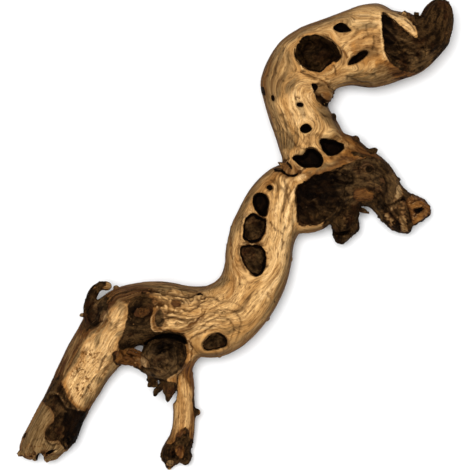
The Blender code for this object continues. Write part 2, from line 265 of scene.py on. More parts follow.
@dataclass
class Block:
    """Depths of the root on an even grid: negative inside the wood, in millimetres."""

    low: Array
    step: float
    depth: Array
    owner: Array
    upper: Array = field(default_factory=lambda: np.zeros((1, 1)))

    def measure_top(self) -> None:
        """Note the height of the upper face over each place of the grid."""
        solid = self.depth < 0
        count = solid.shape[2]
        top = np.clip(count - 1 - np.argmax(solid[:, :, ::-1], axis=2), 0, count - 2)
        below = np.take_along_axis(self.depth, top[..., None], 2)[..., 0]
        above = np.take_along_axis(self.depth, top[..., None] + 1, 2)[..., 0]
        part = np.clip(below / np.minimum(below - above, -1e-6), 0, 1)
        height = self.low[2] + (top + part) * self.step
        self.upper = np.where(solid.any(axis=2), height, np.nan).astype(np.float32)

    def height(self, x: Array, y: Array) -> Array:
        """Give the height of the upper face over places, or not-a-number beside the root."""
        cells = [np.rint((value - low) / self.step).astype(int) for value, low in zip((x, y), self.low)]
        return self.upper[tuple(np.clip(cell, 0, size - 1) for cell, size in zip(cells, self.upper.shape))]

    def window(self, low: Array, high: Array) -> tuple[tuple[slice, ...], list[Array]]:
        """Pick the part of the grid inside a box.

        Args:
            low: Lowest corner in millimetres.
            high: Highest corner in millimetres.

        Returns:
            The slices of the grid, and x, y and z of its places, ready to be combined.
        """
        slices, places = [], []
        for axis in range(3):
            first = int(np.clip((low[axis] - self.low[axis]) / self.step, 0, self.depth.shape[axis] - 2))
            last = int(np.clip((high[axis] - self.low[axis]) / self.step + 2, first + 1, self.depth.shape[axis]))
            slices.append(slice(first, last))
            shape = [1, 1, 1]
            shape[axis] = last - first
            places.append((self.low[axis] + np.arange(first, last) * self.step).reshape(shape).astype(np.float32))
        return tuple(slices), places

    def wear_away(self, slices: tuple[slice, ...], cutter: Array, edge: float = 0.8) -> None:
        """Take out what lies inside the cutter's negative depths, with a worn edge."""
        here = self.depth[slices]
        keep = -cutter
        blend = np.maximum(edge - np.abs(here - keep), 0) / edge
        self.depth[slices] = np.maximum(here, keep) + blend * blend * edge / 4

    def grow(self, slices: tuple[slice, ...], body: Array, fillet: float = 1.5) -> None:
        """Add a body's negative depths, with a fillet where it meets the wood."""
        here = self.depth[slices]
        blend = np.maximum(fillet - np.abs(here - body), 0) / fillet
        self.depth[slices] = np.minimum(here, body) - blend * blend * fillet / 4


def grid_points(places: list[Array]) -> Array:
    """Combine x, y and z of a window into one array of points."""
    return np.stack(np.broadcast_arrays(*places), axis=-1)


def floor_points(x: Array, y: Array) -> Array:
    """Combine x and y of places into one array of points at height 0."""
    return grid_points([x, y, np.zeros((1,) * np.ndim(x))])


def put(name: str, data: bpy.types.ID) -> bpy.types.Object:
    """Make an object of a mesh, a lamp or a camera and put it into the scene."""
    thing = bpy.data.objects.new(name, data)
    bpy.context.scene.collection.objects.link(thing)
    return thing


def points_and_corners(mesh: bpy.types.Mesh) -> tuple[Array, Array]:
    """Read the points of a mesh in metres, and the point number of each corner of its faces."""
    points = np.empty(len(mesh.vertices) * 3, np.float32)
    mesh.vertices.foreach_get("co", points)
    corners = np.empty(len(mesh.loops), np.int32)
    mesh.loops.foreach_get("vertex_index", corners)
    return points.reshape(-1, 3), corners


class Billet:
    """The root's plain body, joined and softened from the frame's nodes, as a block of depths."""

    THIN = ("curled_spur", "root_strand", "bark_peg", "left_flake", "right_flake", "leg_peg")
    SWELL = 0.25               # closes the gaps between the nodes
    MESH = 1.1                 # width of the joined body's faces
    REACH = 4.0                # depths are measured this far to both sides of the surface
    MARGIN = 5.0               # empty room round the body
    ROUNDS = 34                # of smoothing
    EASE = 0.5                 # how far a round of smoothing goes
    THIN_EASE = 0.06           # the same on thin twigs
    PLUMP = 0.3                # gives back the girth that smoothing takes

    def __init__(self, step: float) -> None:
        """Join the nodes and remember which face of them came from which.

        Args:
            step: Width of the finished grid's cells in millimetres.
        """
        self.step = step
        self.names = sorted(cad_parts)
        self.points, self.faces = self._joined()
        self.node_tree, self.face_owner = self._node_tree()

    def _joined(self) -> tuple[Array, Array]:
        """Join swollen copies of the nodes into one even mesh and give its points and faces."""
        shell = bmesh.new()
        for name in self.names:
            shell.from_mesh(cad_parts[name].data)
        bmesh.ops.remove_doubles(shell, verts=shell.verts, dist=1e-6)
        shell.normal_update()
        for vert, move in [(vert, vert.normal * self.SWELL * MM) for vert in shell.verts]:
            vert.co += move
        mesh = bpy.data.meshes.new("plain_body")
        shell.to_mesh(mesh)
        shell.free()
        holder = put("plain_body", mesh)
        modifier = holder.modifiers.new("even", "REMESH")
        modifier.mode = "VOXEL"
        modifier.voxel_size = self.MESH * MM
        graph = bpy.context.evaluated_depsgraph_get()
        even = bpy.data.meshes.new_from_object(holder.evaluated_get(graph))
        points, corners = points_and_corners(even)
        bpy.data.objects.remove(holder)
        for used in (mesh, even):
            bpy.data.meshes.remove(used)
        return points.astype(float) / MM, corners.reshape(-1, 4)

    def _node_tree(self) -> tuple[BVHTree, Array]:
        """Give a search tree over the nodes' own triangles, and each triangle's node number."""
        points, faces, owner, start = [], [], [], 0
        for number, name in enumerate(self.names):
            places, corners = points_and_corners(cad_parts[name].data)
            points.append(places / MM)
            faces.append(corners.reshape(-1, 3) + start)
            owner.append(np.full(len(corners) // 3, number))
            start += len(places)
        tree = BVHTree.FromPolygons(np.concatenate(points).tolist(), np.concatenate(faces).tolist())
        return tree, np.concatenate(owner)

    def soften(self) -> Array:
        """Smooth the joined body, its thin twigs less, and give the node number of each face."""
        find = self.node_tree.find_nearest
        owner = np.array([self.face_owner[find(point)[2]] for point in self.points.tolist()])
        thin = np.isin(owner, [self.names.index(name) for name in self.THIN])
        weight = np.where(thin, self.THIN_EASE, self.EASE)[:, None]
        edges = sides(self.faces)
        for _ in range(self.ROUNDS):
            self.points += (neighbour_mean(self.points, edges) - self.points) * weight
        self.points += corner_normals(self.points, self.faces) * self.PLUMP
        return owner[self.faces[:, 0]]

    def block(self) -> Block:
        """Measure the depths round the softened body and refine them to the finished grid."""
        owner = self.soften()
        tree = BVHTree.FromPolygons(self.points.tolist(), self.faces.tolist())
        wide = self.step * 2
        low = self.points.min(axis=0) - self.MARGIN
        shape = np.ceil((self.points.max(axis=0) + self.MARGIN - low) / wide).astype(int) + 1
        marked = np.zeros(shape, bool)
        cells = np.rint((self.points - low) / wide).astype(int)
        marked[tuple(cells.T)] = True
        for _ in range(math.ceil(self.REACH / wide)):
            marked = spread(marked)
        index = np.argwhere(marked)
        depth = np.empty(len(index), np.float32)
        holder = np.empty(len(index), np.int16)
        for row, point in enumerate((index * wide + low).tolist()):
            place, normal, face, far = tree.find_nearest(point)
            outward = sum((a - b) * c for a, b, c in zip(point, place, normal))
            depth[row] = math.copysign(far, outward)
            holder[row] = owner[face]
        coarse = np.full(shape, np.nan, np.float32)
        coarse[tuple(index.T)] = depth
        holders = np.full(shape, -1, np.int16)
        holders[tuple(index.T)] = holder
        coarse, holders = fill_columns(coarse, holders)
        coarse = np.clip(coarse, -self.REACH, self.REACH)
        return Block(low, self.step, refine(coarse), refine_labels(holders))


def spread(marked: Array) -> Array:
    """Mark the neighbours of marked cells too."""
    for axis in range(3):
        marked = np.moveaxis(marked, axis, 0)
        grown = marked.copy()
        grown[1:] |= marked[:-1]
        grown[:-1] |= marked[1:]
        marked = np.moveaxis(grown, 0, axis)
    return marked


def fill_columns(depth: Array, holder: Array) -> tuple[Array, Array]:
    """Carry the last measured depth and owner upwards into cells that weren't measured."""
    far = Billet.REACH + 5
    last = np.full(depth.shape[:2], far, np.float32)
    owner = np.zeros(depth.shape[:2], np.int16)
    for layer in range(depth.shape[2]):
        known = ~np.isnan(depth[:, :, layer])
        last = np.where(known, depth[:, :, layer], np.where(last < 0, -far, far))
        owner = np.where(known, holder[:, :, layer], owner)
        depth[:, :, layer] = last
        holder[:, :, layer] = owner
    return depth, holder


def refine(values: Array) -> Array:
    """Halve the grid's step, with the in-between values on straight lines."""
    for axis in range(3):
        values = np.moveaxis(values, axis, 0)
        finer = np.empty((values.shape[0] * 2 - 1,) + values.shape[1:], np.float32)
        finer[::2] = values
        finer[1::2] = (values[1:] + values[:-1]) / 2
        values = np.moveaxis(finer, 0, axis)
    return np.ascontiguousarray(values)


def refine_labels(values: Array) -> Array:
    """Halve the step of a grid of numbers, each cell repeating its own."""
    for axis in range(3):
        values = np.repeat(values, 2, axis=axis).take(range(values.shape[axis] * 2 - 1), axis=axis)
    return np.ascontiguousarray(values.astype(np.int8))


def sides(faces: Array) -> Array:
    """Give the four sides of each face, as pairs of point numbers."""
    return np.concatenate([faces[:, (side, (side + 1) % 4)] for side in range(4)])


def sums(numbers: Array, values: Array, count: int) -> Array:
    """Add up the rows of values that have the same number."""
    return np.stack([np.bincount(numbers, weights=column, minlength=count) for column in values.T], axis=1)


def neighbour_mean(points: Array, edges: Array) -> Array:
    """Average the neighbours of each point.

    Args:
        points: One row to a point.
        edges: Pairs of point numbers.

    Returns:
        One row to a point.
    """
    count = len(points)
    both = np.concatenate((edges, edges[:, ::-1]))
    found = np.maximum(np.bincount(both[:, 0], minlength=count), 1)
    return sums(both[:, 0], points[both[:, 1]], count) / found[:, None]


def evened(values: Array, edges: Array, rounds: int) -> Array:
    """Move the values of each point halfway to the mean of its neighbours, some times over.

    Args:
        values: One row to a point.
        edges: Pairs of point numbers.
        rounds: How many times.

    Returns:
        One row to a point.
    """
    for _ in range(rounds):
        values = (values + neighbour_mean(values, edges)) * 0.5
    return values


def corner_normals(points: Array, faces: Array) -> Array:
    """Give each point the mean direction of the four-cornered faces round it."""
    across = np.cross(points[faces[:, 2]] - points[faces[:, 0]], points[faces[:, 3]] - points[faces[:, 1]])
    total = sums(faces.ravel(), np.repeat(across, 4, axis=0), len(points))
    return total / np.maximum(np.linalg.norm(total, axis=1, keepdims=True), 1e-12)


@dataclass(frozen=True)
class Hollow:
    """A knot hole, slot or recess that opens upwards."""

    outline: Outline
    deep: float = 8.0                    # below the wood round it
    level: float | None = None           # height of the floor, where it isn't set by the wood round it
    ramp: tuple[float, float] = (0.0, 0.0)      # rise of the floor in a millimetre along x and along y
    lean: float = 0.12                   # how fast the walls close in
    bowl: float = 3.0                    # how far from the wall the floor reaches its depth
    moat: float = 0.0                    # extra depth of the gap along the wall
    folds: float = 0.0                   # height of the rings on the floor
    fold_gap: float = 3.2
    eye: Spot | None = None              # middle of the rings
    rough: float = 0.35
    lip: float = 0.0                     # height of the raised rim
    dark: float = 1.0
    # the plug's bark is paled by dust and by painted highlight
    dusty: float = 0.0                   # how pale the floor's bark is
    worn: float = 0.8                    # how far the rim is rounded off
    high: float = TOP                    # height that the outline is drawn at

    BESIDE = 2.5                         # how far outside the outline the wood round it is measured
    BELOW = 7.0                          # places that lie this far under the others are on other wood
    STEEPEST = 0.7                       # rise of the wood round the hollow in a millimetre
    FEWEST = 5                           # places that a sloping plane is fitted to

    def corners(self) -> Array:
        """Give the outline in millimetres, with rounded corners."""
        return rounded(to_mm(self.outline, self.high))

    def middle(self) -> Array:
        """Give the middle of the outline."""
        return to_mm(self.outline, self.high).mean(axis=0)

    def brim(self, block: Block) -> Array:
        """Fit a plane to the wood round the outline: its height at the middle, and its rise in x and y."""
        middle = self.middle()
        corners = to_mm(self.outline, self.high)
        away = corners - middle
        around = corners + away / np.linalg.norm(away, axis=1, keepdims=True) * self.BESIDE
        heights = block.height(around[:, 0], around[:, 1])
        known = ~np.isnan(heights)
        known &= np.where(known, heights, 0) > np.nanmedian(heights) - self.BELOW
        places = np.column_stack((np.ones(known.sum()), around[known] - middle))
        if known.sum() < self.FEWEST:
            return np.array([np.nanmean(heights[known]), 0.0, 0.0])
        fit = np.linalg.lstsq(places, heights[known], rcond=None)[0]
        return np.array([fit[0], *np.clip(fit[1:], -self.STEEPEST, self.STEEPEST)])

    def plane(self, height: float, rise: Array | Spot, x: Array, y: Array) -> Array:
        """Give the height over places of a plane with that height at the middle and that rise in x and y."""
        middle = self.middle()
        return height + rise[0] * (x - middle[0]) + rise[1] * (y - middle[1])

    def floor(self, rim: Array, x: Array, y: Array, inward: Array) -> Array:
        """Give the height of the floor.

        Args:
            rim: Height of the wood round the hollow over the places.
            x: Places along x.
            y: Places along y.
            inward: How far each place lies inside the outline.

        Returns:
            Heights in millimetres.
        """
        if self.level is None:
            floor = rim - self.deep * smooth(inward, -0.5, self.bowl)
        else:
            floor = self.plane(self.level, self.ramp, x, y)
        floor = floor - self.moat * np.exp(-((inward - 0.9) / 0.9) ** 2)
        if self.folds:
            bumps = COARSE.at(floor_points(x, y), 6.0)
            floor = floor + self.folds * ((self.ring(x, y) - 0.5) * 1.6 + 1.3 * bumps)
        return floor

    def ring(self, x: Array, y: Array) -> Array:
        """Say how high places lie on the rings of the floor, from 0 in a groove to 1 on a ridge."""
        eye = to_mm(self.eye)[0] if self.eye else self.middle()
        points = floor_points(x, y)
        bent = np.hypot(x - eye[0], y - eye[1]) + 8.0 * WARP.at(points, 12.0) + 3.6 * WARP.at(points, 5.0)
        ring = bent / self.fold_gap
        return 2 * np.abs(ring - np.floor(ring) - 0.5)

    def carve(self, block: Block) -> None:
        """Wear the hollow out of the block."""
        brim = self.brim(block)
        corners = self.corners()
        bottom = (self.level if self.level is not None else brim[0] - self.deep) - 9
        low = np.append(corners.min(axis=0) - 5, max(bottom, block.low[2]))
        high = np.append(corners.max(axis=0) + 5, brim[0] + 16)
        slices, (x, y, z) = block.window(low, high)
        away = outline_distance(corners, x[..., 0], y[..., 0])[..., None]
        points = grid_points([x, y, z])
        wall = away + self.rough * 1.6 * WARP.at(points, 3.2) + self.rough * FINE.at(points, 1.7)
        rim = self.plane(brim[0], brim[1:], x, y)
        if self.lip:
            block.depth[slices] -= self.lip * np.exp(-((away - 1.0) / 1.6) ** 2) * smooth(z, rim - 7, rim - 2)
        floor = self.floor(rim, x, y, -away)
        block.wear_away(slices, np.maximum(wall + self.lean * np.maximum(rim - z, 0), floor - z), self.worn)

    def darken(self, skin: "Skin", block: Block) -> None:
        """Lay the dark of old heartwood over the walls and floor, deepened to near black as painted shade in the hole.
        """
        brim = self.brim(block)
        index, away = skin.inside(self.corners(), 2.0)
        x, y, z = skin.points[index].T
        rim = self.plane(brim[0], brim[1:], x, y)
        sunk = rim - z if self.level is None else np.maximum(rim - z, 4.0)
        amount = smooth(sunk, 0.3, 1.8) * smooth(-away, -1.2, 0.6) * self.dark
        if self.moat:
            plug = smooth(-away + 0.8 * WARP.at(skin.points[index], 4.0), 0.9, 2.6)
            skin.paint(BARK, index, amount * plug)
            # dust and painted highlight on the plug
            skin.paint(DUST, index, amount * plug * self.dusty)
            # painted shade in the grooves between the plug's rings
            skin.paint(CREASE, index, amount * plug * (1 - smooth(self.ring(x, y), 0.0, 0.5)) * 0.55)
            amount = amount * (1 - 0.92 * plug)
        # the hollow's near black is dark heartwood and painted shade
        skin.paint(HOLLOW, index, amount)


@dataclass(frozen=True)
class Pit:
    """A round hole that opens in any direction."""

    middle: Place
    size: Place

    def carve(self, block: Block) -> None:
        """Wear the hole out of the block."""
        place, size = place_of(self.middle), np.array(self.size)
        slices, places = block.window(place - size - 3, place + size + 3)
        points = grid_points(places)
        far = np.linalg.norm((points - place) / size, axis=-1)
        block.wear_away(slices, (far - 1) * size.min() + 0.7 * WARP.at(points, 3.0))

    def darken(self, skin: "Skin", block: Block) -> None:
        """Lay the dark of old heartwood over the hole, deepened to near black as painted shade."""
        far = np.linalg.norm((skin.points - place_of(self.middle)) / np.array(self.size), axis=1)
        index = np.flatnonzero(far < 1.4)
        skin.paint(HOLLOW, index, smooth(-far[index], -1.3, -0.95))


@dataclass(frozen=True)
class Growth:
    """A nub, knob or chip that stands out of the wood."""

    middle: Place
    size: Place
    turn: float = 0.0            # to the right, in degrees
    rough: float = 0.5
    fillet: float = 1.5

    def add(self, block: Block) -> None:
        """Grow the body out of the block."""
        place, size = place_of(self.middle), np.array(self.size)
        reach = size.max() + 3
        slices, places = block.window(place - reach, place + reach)
        points = grid_points(places)
        x, y, z = np.moveaxis(points - place, -1, 0)
        cosine, sine = math.cos(math.radians(self.turn)), math.sin(math.radians(self.turn))
        away = np.stack((x * cosine + y * sine, y * cosine - x * sine, z), axis=-1)
        far = np.linalg.norm(away / size, axis=-1)
        body = (far - 1) * size.min() + self.rough * WARP.at(points, 2.2)
        wood = block.depth[slices] < 0
        numbers, counts = np.unique(block.owner[slices][wood], return_counts=True)
        if len(numbers):
            block.owner[slices][(body < self.fillet) & ~wood] = numbers[counts.argmax()]
        block.grow(slices, body, self.fillet)


@dataclass(frozen=True)
class Fray:
    """A broken end, where the wood is torn and crumbling."""

    middle: Place
    reach: float
    tear: float = 2.0            # depth of what is torn off
    size: float = 4.0            # width of one torn notch

    def tear_off(self, block: Block) -> None:
        """Roughen the block round the end."""
        place = place_of(self.middle)
        slices, places = block.window(place - self.reach, place + self.reach)
        points = grid_points(places)
        near = 1 - smooth(np.linalg.norm(points - place, axis=-1), self.reach * 0.45, self.reach)
        block.depth[slices] += near * (self.tear * (0.25 + WARP.layered(points, self.size)))


@dataclass(frozen=True)
class Crack:
    """A crack, or with a negative depth a thin ridge, along a line."""

    line: Outline
    wide: float = 0.8
    deep: float = 1.2
    dark: float = 0.9
    # by default the crack is darkened with painted shade
    mask: Mask = CREASE

    def mark(self, skin: "Skin") -> None:
        """Press the crack into the skin, deepest in its middle and thin at its ends."""
        line = rounded(rounded(to_mm(self.line), closed=False), closed=False)
        index = skin.near(line.min(axis=0) - 4, line.max(axis=0) + 4)
        points = skin.points[index]
        shift = 0.8 * WARP.at(points, 3.5) + 0.5 * FINE.at(points, 1.5)
        far, passed = line_distance(line, points[:, 0] + shift, points[:, 1] - shift)
        taper = smooth(passed, -0.05, 0.2) * smooth(1 - passed, -0.05, 0.2)
        amount = np.exp(-(far / (self.wide * (0.6 + 0.4 * taper))) ** 2) * taper * skin.upward[index]
        skin.lift[index] -= self.deep * amount
        # with the crease mask this is painted shade in the crack, with the dust mask painted highlight on a ridge; the
        # other masks are stains
        skin.paint(self.mask, index, amount * self.dark)


@dataclass(frozen=True)
class Patch:
    """A stained, bleached or bark-covered part of the upper face. A negative amount takes its mask away."""

    mask: Mask
    amount: float
    outline: Outline
    edge: float = 2.0            # width of the change, in millimetres
    ragged: float = 2.5          # how far the edge wanders
    lift: float = 0.0            # how far the patch stands out, in millimetres
    streaky: float = 0.0         # how much the grain breaks the patch up
    scale: float = 6.0

    def mark(self, skin: "Skin") -> None:
        """Lay the patch on the skin."""
        index, away, points = skin.under(self.outline, self.edge + self.ragged + 1)
        away = away + self.ragged * (WARP.layered(points, self.scale) + 0.5 * FINE.layered(points, 2.4, 2))
        away = away - (0.25 + self.streaky) * skin.streak[index] * 2
        share = smooth(-away, -self.edge / 2, self.edge / 2) * skin.upward[index]
        skin.lift[index] += self.lift * share
        if self.amount < 0:
            skin.wipe(self.mask, index, share * -self.amount)
        else:
            valley = 1 - min(self.streaky, 1.0) * smooth(skin.streak[index], -0.35, 0.4)
            skin.paint(self.mask, index, share * self.amount * valley)


@dataclass
class Course:
    """The line that a limb's grain follows, from its foot to its tip."""

    line: tuple[Place, ...]
    girth: float
    offset: float = 0.0          # where the way along the limb starts, so that no two limbs have the same grain

    def measure(self, points: Array) -> tuple[Array, Array, Array]:
        """Say where points lie on the limb.

        Args:
            points: Places in millimetres.

        Returns:
            The way along the limb, the turn round it in radians, and the distance from its line.
        """
        line = np.array([place_of(spot) for spot in self.line])
        legs = np.diff(line, axis=0)
        lengths = np.linalg.norm(legs, axis=1)
        heading = legs / lengths[:, None]
        joints = np.vstack((heading[:1], (heading[1:] + heading[:-1]) / 2, heading[-1:]))
        start = np.concatenate(([0.0], np.cumsum(lengths)))
        best = np.full(len(points), 1e9)
        way, tangent, away = np.zeros(len(points)), np.zeros((len(points), 3)), np.zeros((len(points), 3))
        for leg in range(len(legs)):
            offset = points - line[leg]
            first, last = leg == 0, leg == len(legs) - 1
            along = offset @ heading[leg] / lengths[leg]
            held = np.clip(along, -9.0 if first else 0.0, 9.0 if last else 1.0)
            gap = offset - held[:, None] * legs[leg]
            far = np.einsum("ij,ij->i", gap, gap)
            closer = far < best
            best[closer] = far[closer]
            way[closer] = start[leg] + held[closer] * lengths[leg]
            share = np.clip(held[closer], 0, 1)[:, None]
            tangent[closer] = joints[leg] * (1 - share) + joints[leg + 1] * share
            away[closer] = gap[closer]
        side = np.cross(tangent, (0.0, 0.0, 1.0))
        side /= np.maximum(np.linalg.norm(side, axis=1, keepdims=True), 1e-6)
        rise = np.cross(side, tangent)
        turn = np.arctan2(np.einsum("ij,ij->i", away, side), np.einsum("ij,ij->i", away, rise))
        return way + self.offset, turn, np.sqrt(best)


@dataclass(frozen=True)
class Knot:
    """A place that the grain flows round."""

    middle: Place
    radius: float


class Skin:
    """The root's surface, with its grain, relief and masks, before it is cut into pieces."""

    CRUMB = 4000               # a part of the net with fewer faces is left out
    LOWEST = 0.05              # height that no point goes under
    NET_ROUNDS = 2             # rounds that take the grid's steps out of the net
    NET_EASE = 0.45            # how far one of them goes
    GRAIN_ROUNDS = 36          # rounds of evening out the grain
    SEAM_ROUNDS = 8            # width of the seam between two limbs' grain, in points
    RISE_ROUNDS = 14           # rounds that hide the small bumps
    WIDE_ROUNDS = 13           # the same for the wide folds
    WALL_ROUNDS = 6            # rounds that carry the relief into the walls between pieces

    def __init__(self, block: Block, labels: Array) -> None:
        """Draw the surface through the block where the depth is zero.

        Args:
            block: The worn block.
            labels: Piece number of each place in the wood, and 0 outside it.
        """
        self.points, self.quads, self.front, self.back = net(block, labels)
        self._drop_crumbs()
        outer = (self.front == 0) | (self.back == 0)
        self.shell = np.where((self.front[outer] > 0)[:, None], self.quads[outer], self.quads[outer][:, ::-1])
        self.edges = sides(self.shell)
        self.outside = np.zeros(len(self.points), bool)
        self.outside[self.shell.ravel()] = True
        for _ in range(self.NET_ROUNDS):
            mean = neighbour_mean(self.points, self.edges)
            self.points[self.outside] += (mean - self.points)[self.outside] * self.NET_EASE
        self.normals = corner_normals(self.points, self.shell)
        self.upward = smooth(self.normals[:, 2], -0.1, 0.3) * self.outside
        self.lift = np.zeros(len(self.points))
        self.masks = {mask: np.zeros(len(self.points)) for mask in Mask}
        self.grain = np.zeros((len(self.points), 3))
        self.course = np.zeros(len(self.points), np.int8)
        self.streak = np.zeros(len(self.points))

    def _drop_crumbs(self) -> None:
        """Leave out loose crumbs and closed bubbles, which touch nothing else."""
        link = np.arange(len(self.points))
        while True:
            before = link.copy()
            lowest = link[self.quads].min(axis=1)
            for side in range(4):
                np.minimum.at(link, self.quads[:, side], lowest)
            link = link[link]
            if np.array_equal(before, link):
                break
        sizes = np.bincount(link[self.quads[:, 0]], minlength=len(self.points))
        keep = sizes[link[self.quads[:, 0]]] > self.CRUMB
        self.quads, self.front, self.back = self.quads[keep], self.front[keep], self.back[keep]
        used, packed = np.unique(self.quads, return_inverse=True)
        self.points, self.quads = self.points[used], packed.reshape(-1, 4)

    def smooth_rise(self) -> Array:
        """Say how far up the surface looks, without its small bumps."""
        return evened(self.normals[:, 2:], self.edges, self.RISE_ROUNDS)[:, 0]

    def near(self, low: Array, high: Array) -> Array:
        """Number the points whose x and y lie in a box."""
        x, y = self.points[:, 0], self.points[:, 1]
        return np.flatnonzero((x > low[0]) & (x < high[0]) & (y > low[1]) & (y < high[1]))

    def inside(self, corners: Array, margin: float) -> tuple[Array, Array]:
        """Find the points in or near an outline.

        Args:
            corners: The outline in millimetres.
            margin: How far outside it a point may lie.

        Returns:
            Point numbers, and their distances from the outline, negative inside.
        """
        index = self.near(corners.min(axis=0) - margin, corners.max(axis=0) + margin)
        away = outline_distance(corners, self.points[index, 0], self.points[index, 1])
        close = away < margin
        return index[close], away[close]

    def under(self, outline: Outline, margin: float) -> tuple[Array, Array, Array]:
        """Give the numbers, distances and places of the points in or near an outline on the marking grid."""
        index, away = self.inside(rounded(to_mm(outline)), margin)
        return index, away, self.points[index]

    def paint(self, mask: Mask, index: Array, amount: Array) -> None:
        """Add to a mask without passing 1."""
        held = self.masks[mask][index]
        self.masks[mask][index] = 1 - (1 - held) * (1 - np.clip(amount, 0, 1))

    def wipe(self, mask: Mask, index: Array, amount: Array) -> None:
        """Take from a mask."""
        self.masks[mask][index] *= 1 - np.clip(amount, 0, 1)

    def lay_grain(self, courses: dict[str, Course], nodes: Array, knots: tuple[Knot, ...]) -> None:
        """Give each point its place in the grain: across, up and along its limb, bent round the knots.

        Args:
            courses: Each limb's line, by name. Nodes without one of their own follow the first.
            nodes: Name of the node that each point belongs to.
            knots: What the grain flows round.
        """
        for number, (name, course) in enumerate(courses.items()):
            mine = nodes == name if number else ~np.isin(nodes, list(courses)[1:])
            if not mine.any():
                continue
            points = self.points[mine]
            way, turn, _ = course.measure(points)
            turn = turn + 0.09 * WARP.at(points, 16.0) + 0.035 * WARP.at(points, 6.0)
            self.course[mine] = number
            bend = np.zeros(len(points))
            sway = 2.2 * WARP.at(points, 9.0)
            for knot in knots:
                spot_way, spot_turn, far = course.measure(place_of(knot.middle)[None])
                if far[0] > course.girth * 2:
                    continue
                along = way - spot_way[0]
                across = ((turn - spot_turn[0] + math.pi) % (2 * math.pi) - math.pi) * course.girth
                reach = (along + sway) ** 2 + (across - sway) ** 2
                bend -= across * np.minimum(knot.radius ** 2 / np.maximum(reach, 1e-3), 1.0)
            turn = turn + bend / course.girth
            self.grain[mine] = np.stack((course.girth * np.sin(turn), course.girth * np.cos(turn), way / 9.0), axis=1)
        within = self.edges[self.course[self.edges[:, 0]] == self.course[self.edges[:, 1]]]
        self.grain = evened(self.grain, within, self.GRAIN_ROUNDS)
        self.streak = np.clip(FINE.at(self.grain, 2.6) * 0.9 + FINE.at(self.grain + 9, 1.2) * 0.6, -1, 1)

    def even_seams(self) -> None:
        """Even out the relief where the grain of one limb meets the next."""
        meets = self.edges[self.course[self.edges[:, 0]] != self.course[self.edges[:, 1]]]
        near = np.zeros((len(self.points), 1))
        near[meets.ravel()] = 1
        for _ in range(self.SEAM_ROUNDS):
            near = np.maximum(near, neighbour_mean(near, self.edges))
        even = evened(self.lift[:, None], self.edges, self.SEAM_ROUNDS * 2)
        self.lift += (even[:, 0] - self.lift) * near[:, 0]

    def settle(self) -> None:
        """Move the points by the relief, keep them off the floor, and paint shade into the surface's hollows and
        highlight onto its ridges.
        """
        self.even_seams()
        move = self.normals * self.lift[:, None]
        inner = ~self.outside
        walls = sides(self.quads[(self.front > 0) & (self.back > 0)])
        for _ in range(self.WALL_ROUNDS):
            move[inner] = neighbour_mean(move, walls)[inner] * 0.9
        self.points += move
        self.points[:, 2] = np.maximum(self.points[:, 2], self.LOWEST)
        self.normals = corner_normals(self.points, self.shell)
        mean = neighbour_mean(self.points, self.edges)
        fold = np.einsum("ij,ij->i", mean - self.points, self.normals)[:, None]
        soft = evened(fold, self.edges, 1)[:, 0]
        wide = evened(fold, self.edges, self.WIDE_ROUNDS)[:, 0]
        # painted shade in the concave places, found from how the surface bends
        self.paint(CREASE, slice(None), smooth(soft, 0.05, 0.22) * 0.7 + smooth(wide, 0.02, 0.08) * 0.35)
        # painted highlight on the convex places
        self.paint(DUST, slice(None), smooth(-soft, 0.04, 0.2))

    def mesh(self, name: str, quads: Array) -> bpy.types.Mesh:
        """Make a mesh of some faces, with the masks, the grain and the whole skin's normals.

        Args:
            name: Name of the mesh.
            quads: Point numbers of its faces.

        Returns:
            The mesh, in metres.
        """
        used, corners = np.unique(quads, return_inverse=True)
        mesh = bpy.data.meshes.new(name)
        mesh.vertices.add(len(used))
        mesh.vertices.foreach_set("co", (self.points[used] * MM).astype(np.float32).ravel())
        mesh.loops.add(corners.size)
        mesh.loops.foreach_set("vertex_index", corners.astype(np.int32).ravel())
        mesh.polygons.add(len(quads))
        mesh.polygons.foreach_set("loop_start", np.arange(0, corners.size, 4, dtype=np.int32))
        mesh.update(calc_edges=True)
        for mask, values in self.masks.items():
            layer = mesh.attributes.new(mask.value, "FLOAT", "POINT")
            layer.data.foreach_set("value", values[used].astype(np.float32))
        layer = mesh.attributes.new("grain", "FLOAT_VECTOR", "POINT")
        layer.data.foreach_set("vector", self.grain[used].astype(np.float32).ravel())
        mesh.shade_smooth()
        mesh.normals_split_custom_set_from_vertices(self.normals[used].tolist())
        return mesh

    def cut(self, number: int, name: str, material: bpy.types.Material) -> bpy.types.Object:
        """Cut a closed piece out of the skin.

        Args:
            number: Label of the piece.
            name: Name of the piece.
            material: What it is dressed in.

        Returns:
            The piece.
        """
        mine = (self.front == number) | (self.back == number)
        quads = self.quads[mine]
        quads = np.where((self.front[mine] == number)[:, None], quads, quads[:, ::-1])
        piece = put(name, self.mesh(name, quads))
        piece.data.materials.append(material)
        return piece


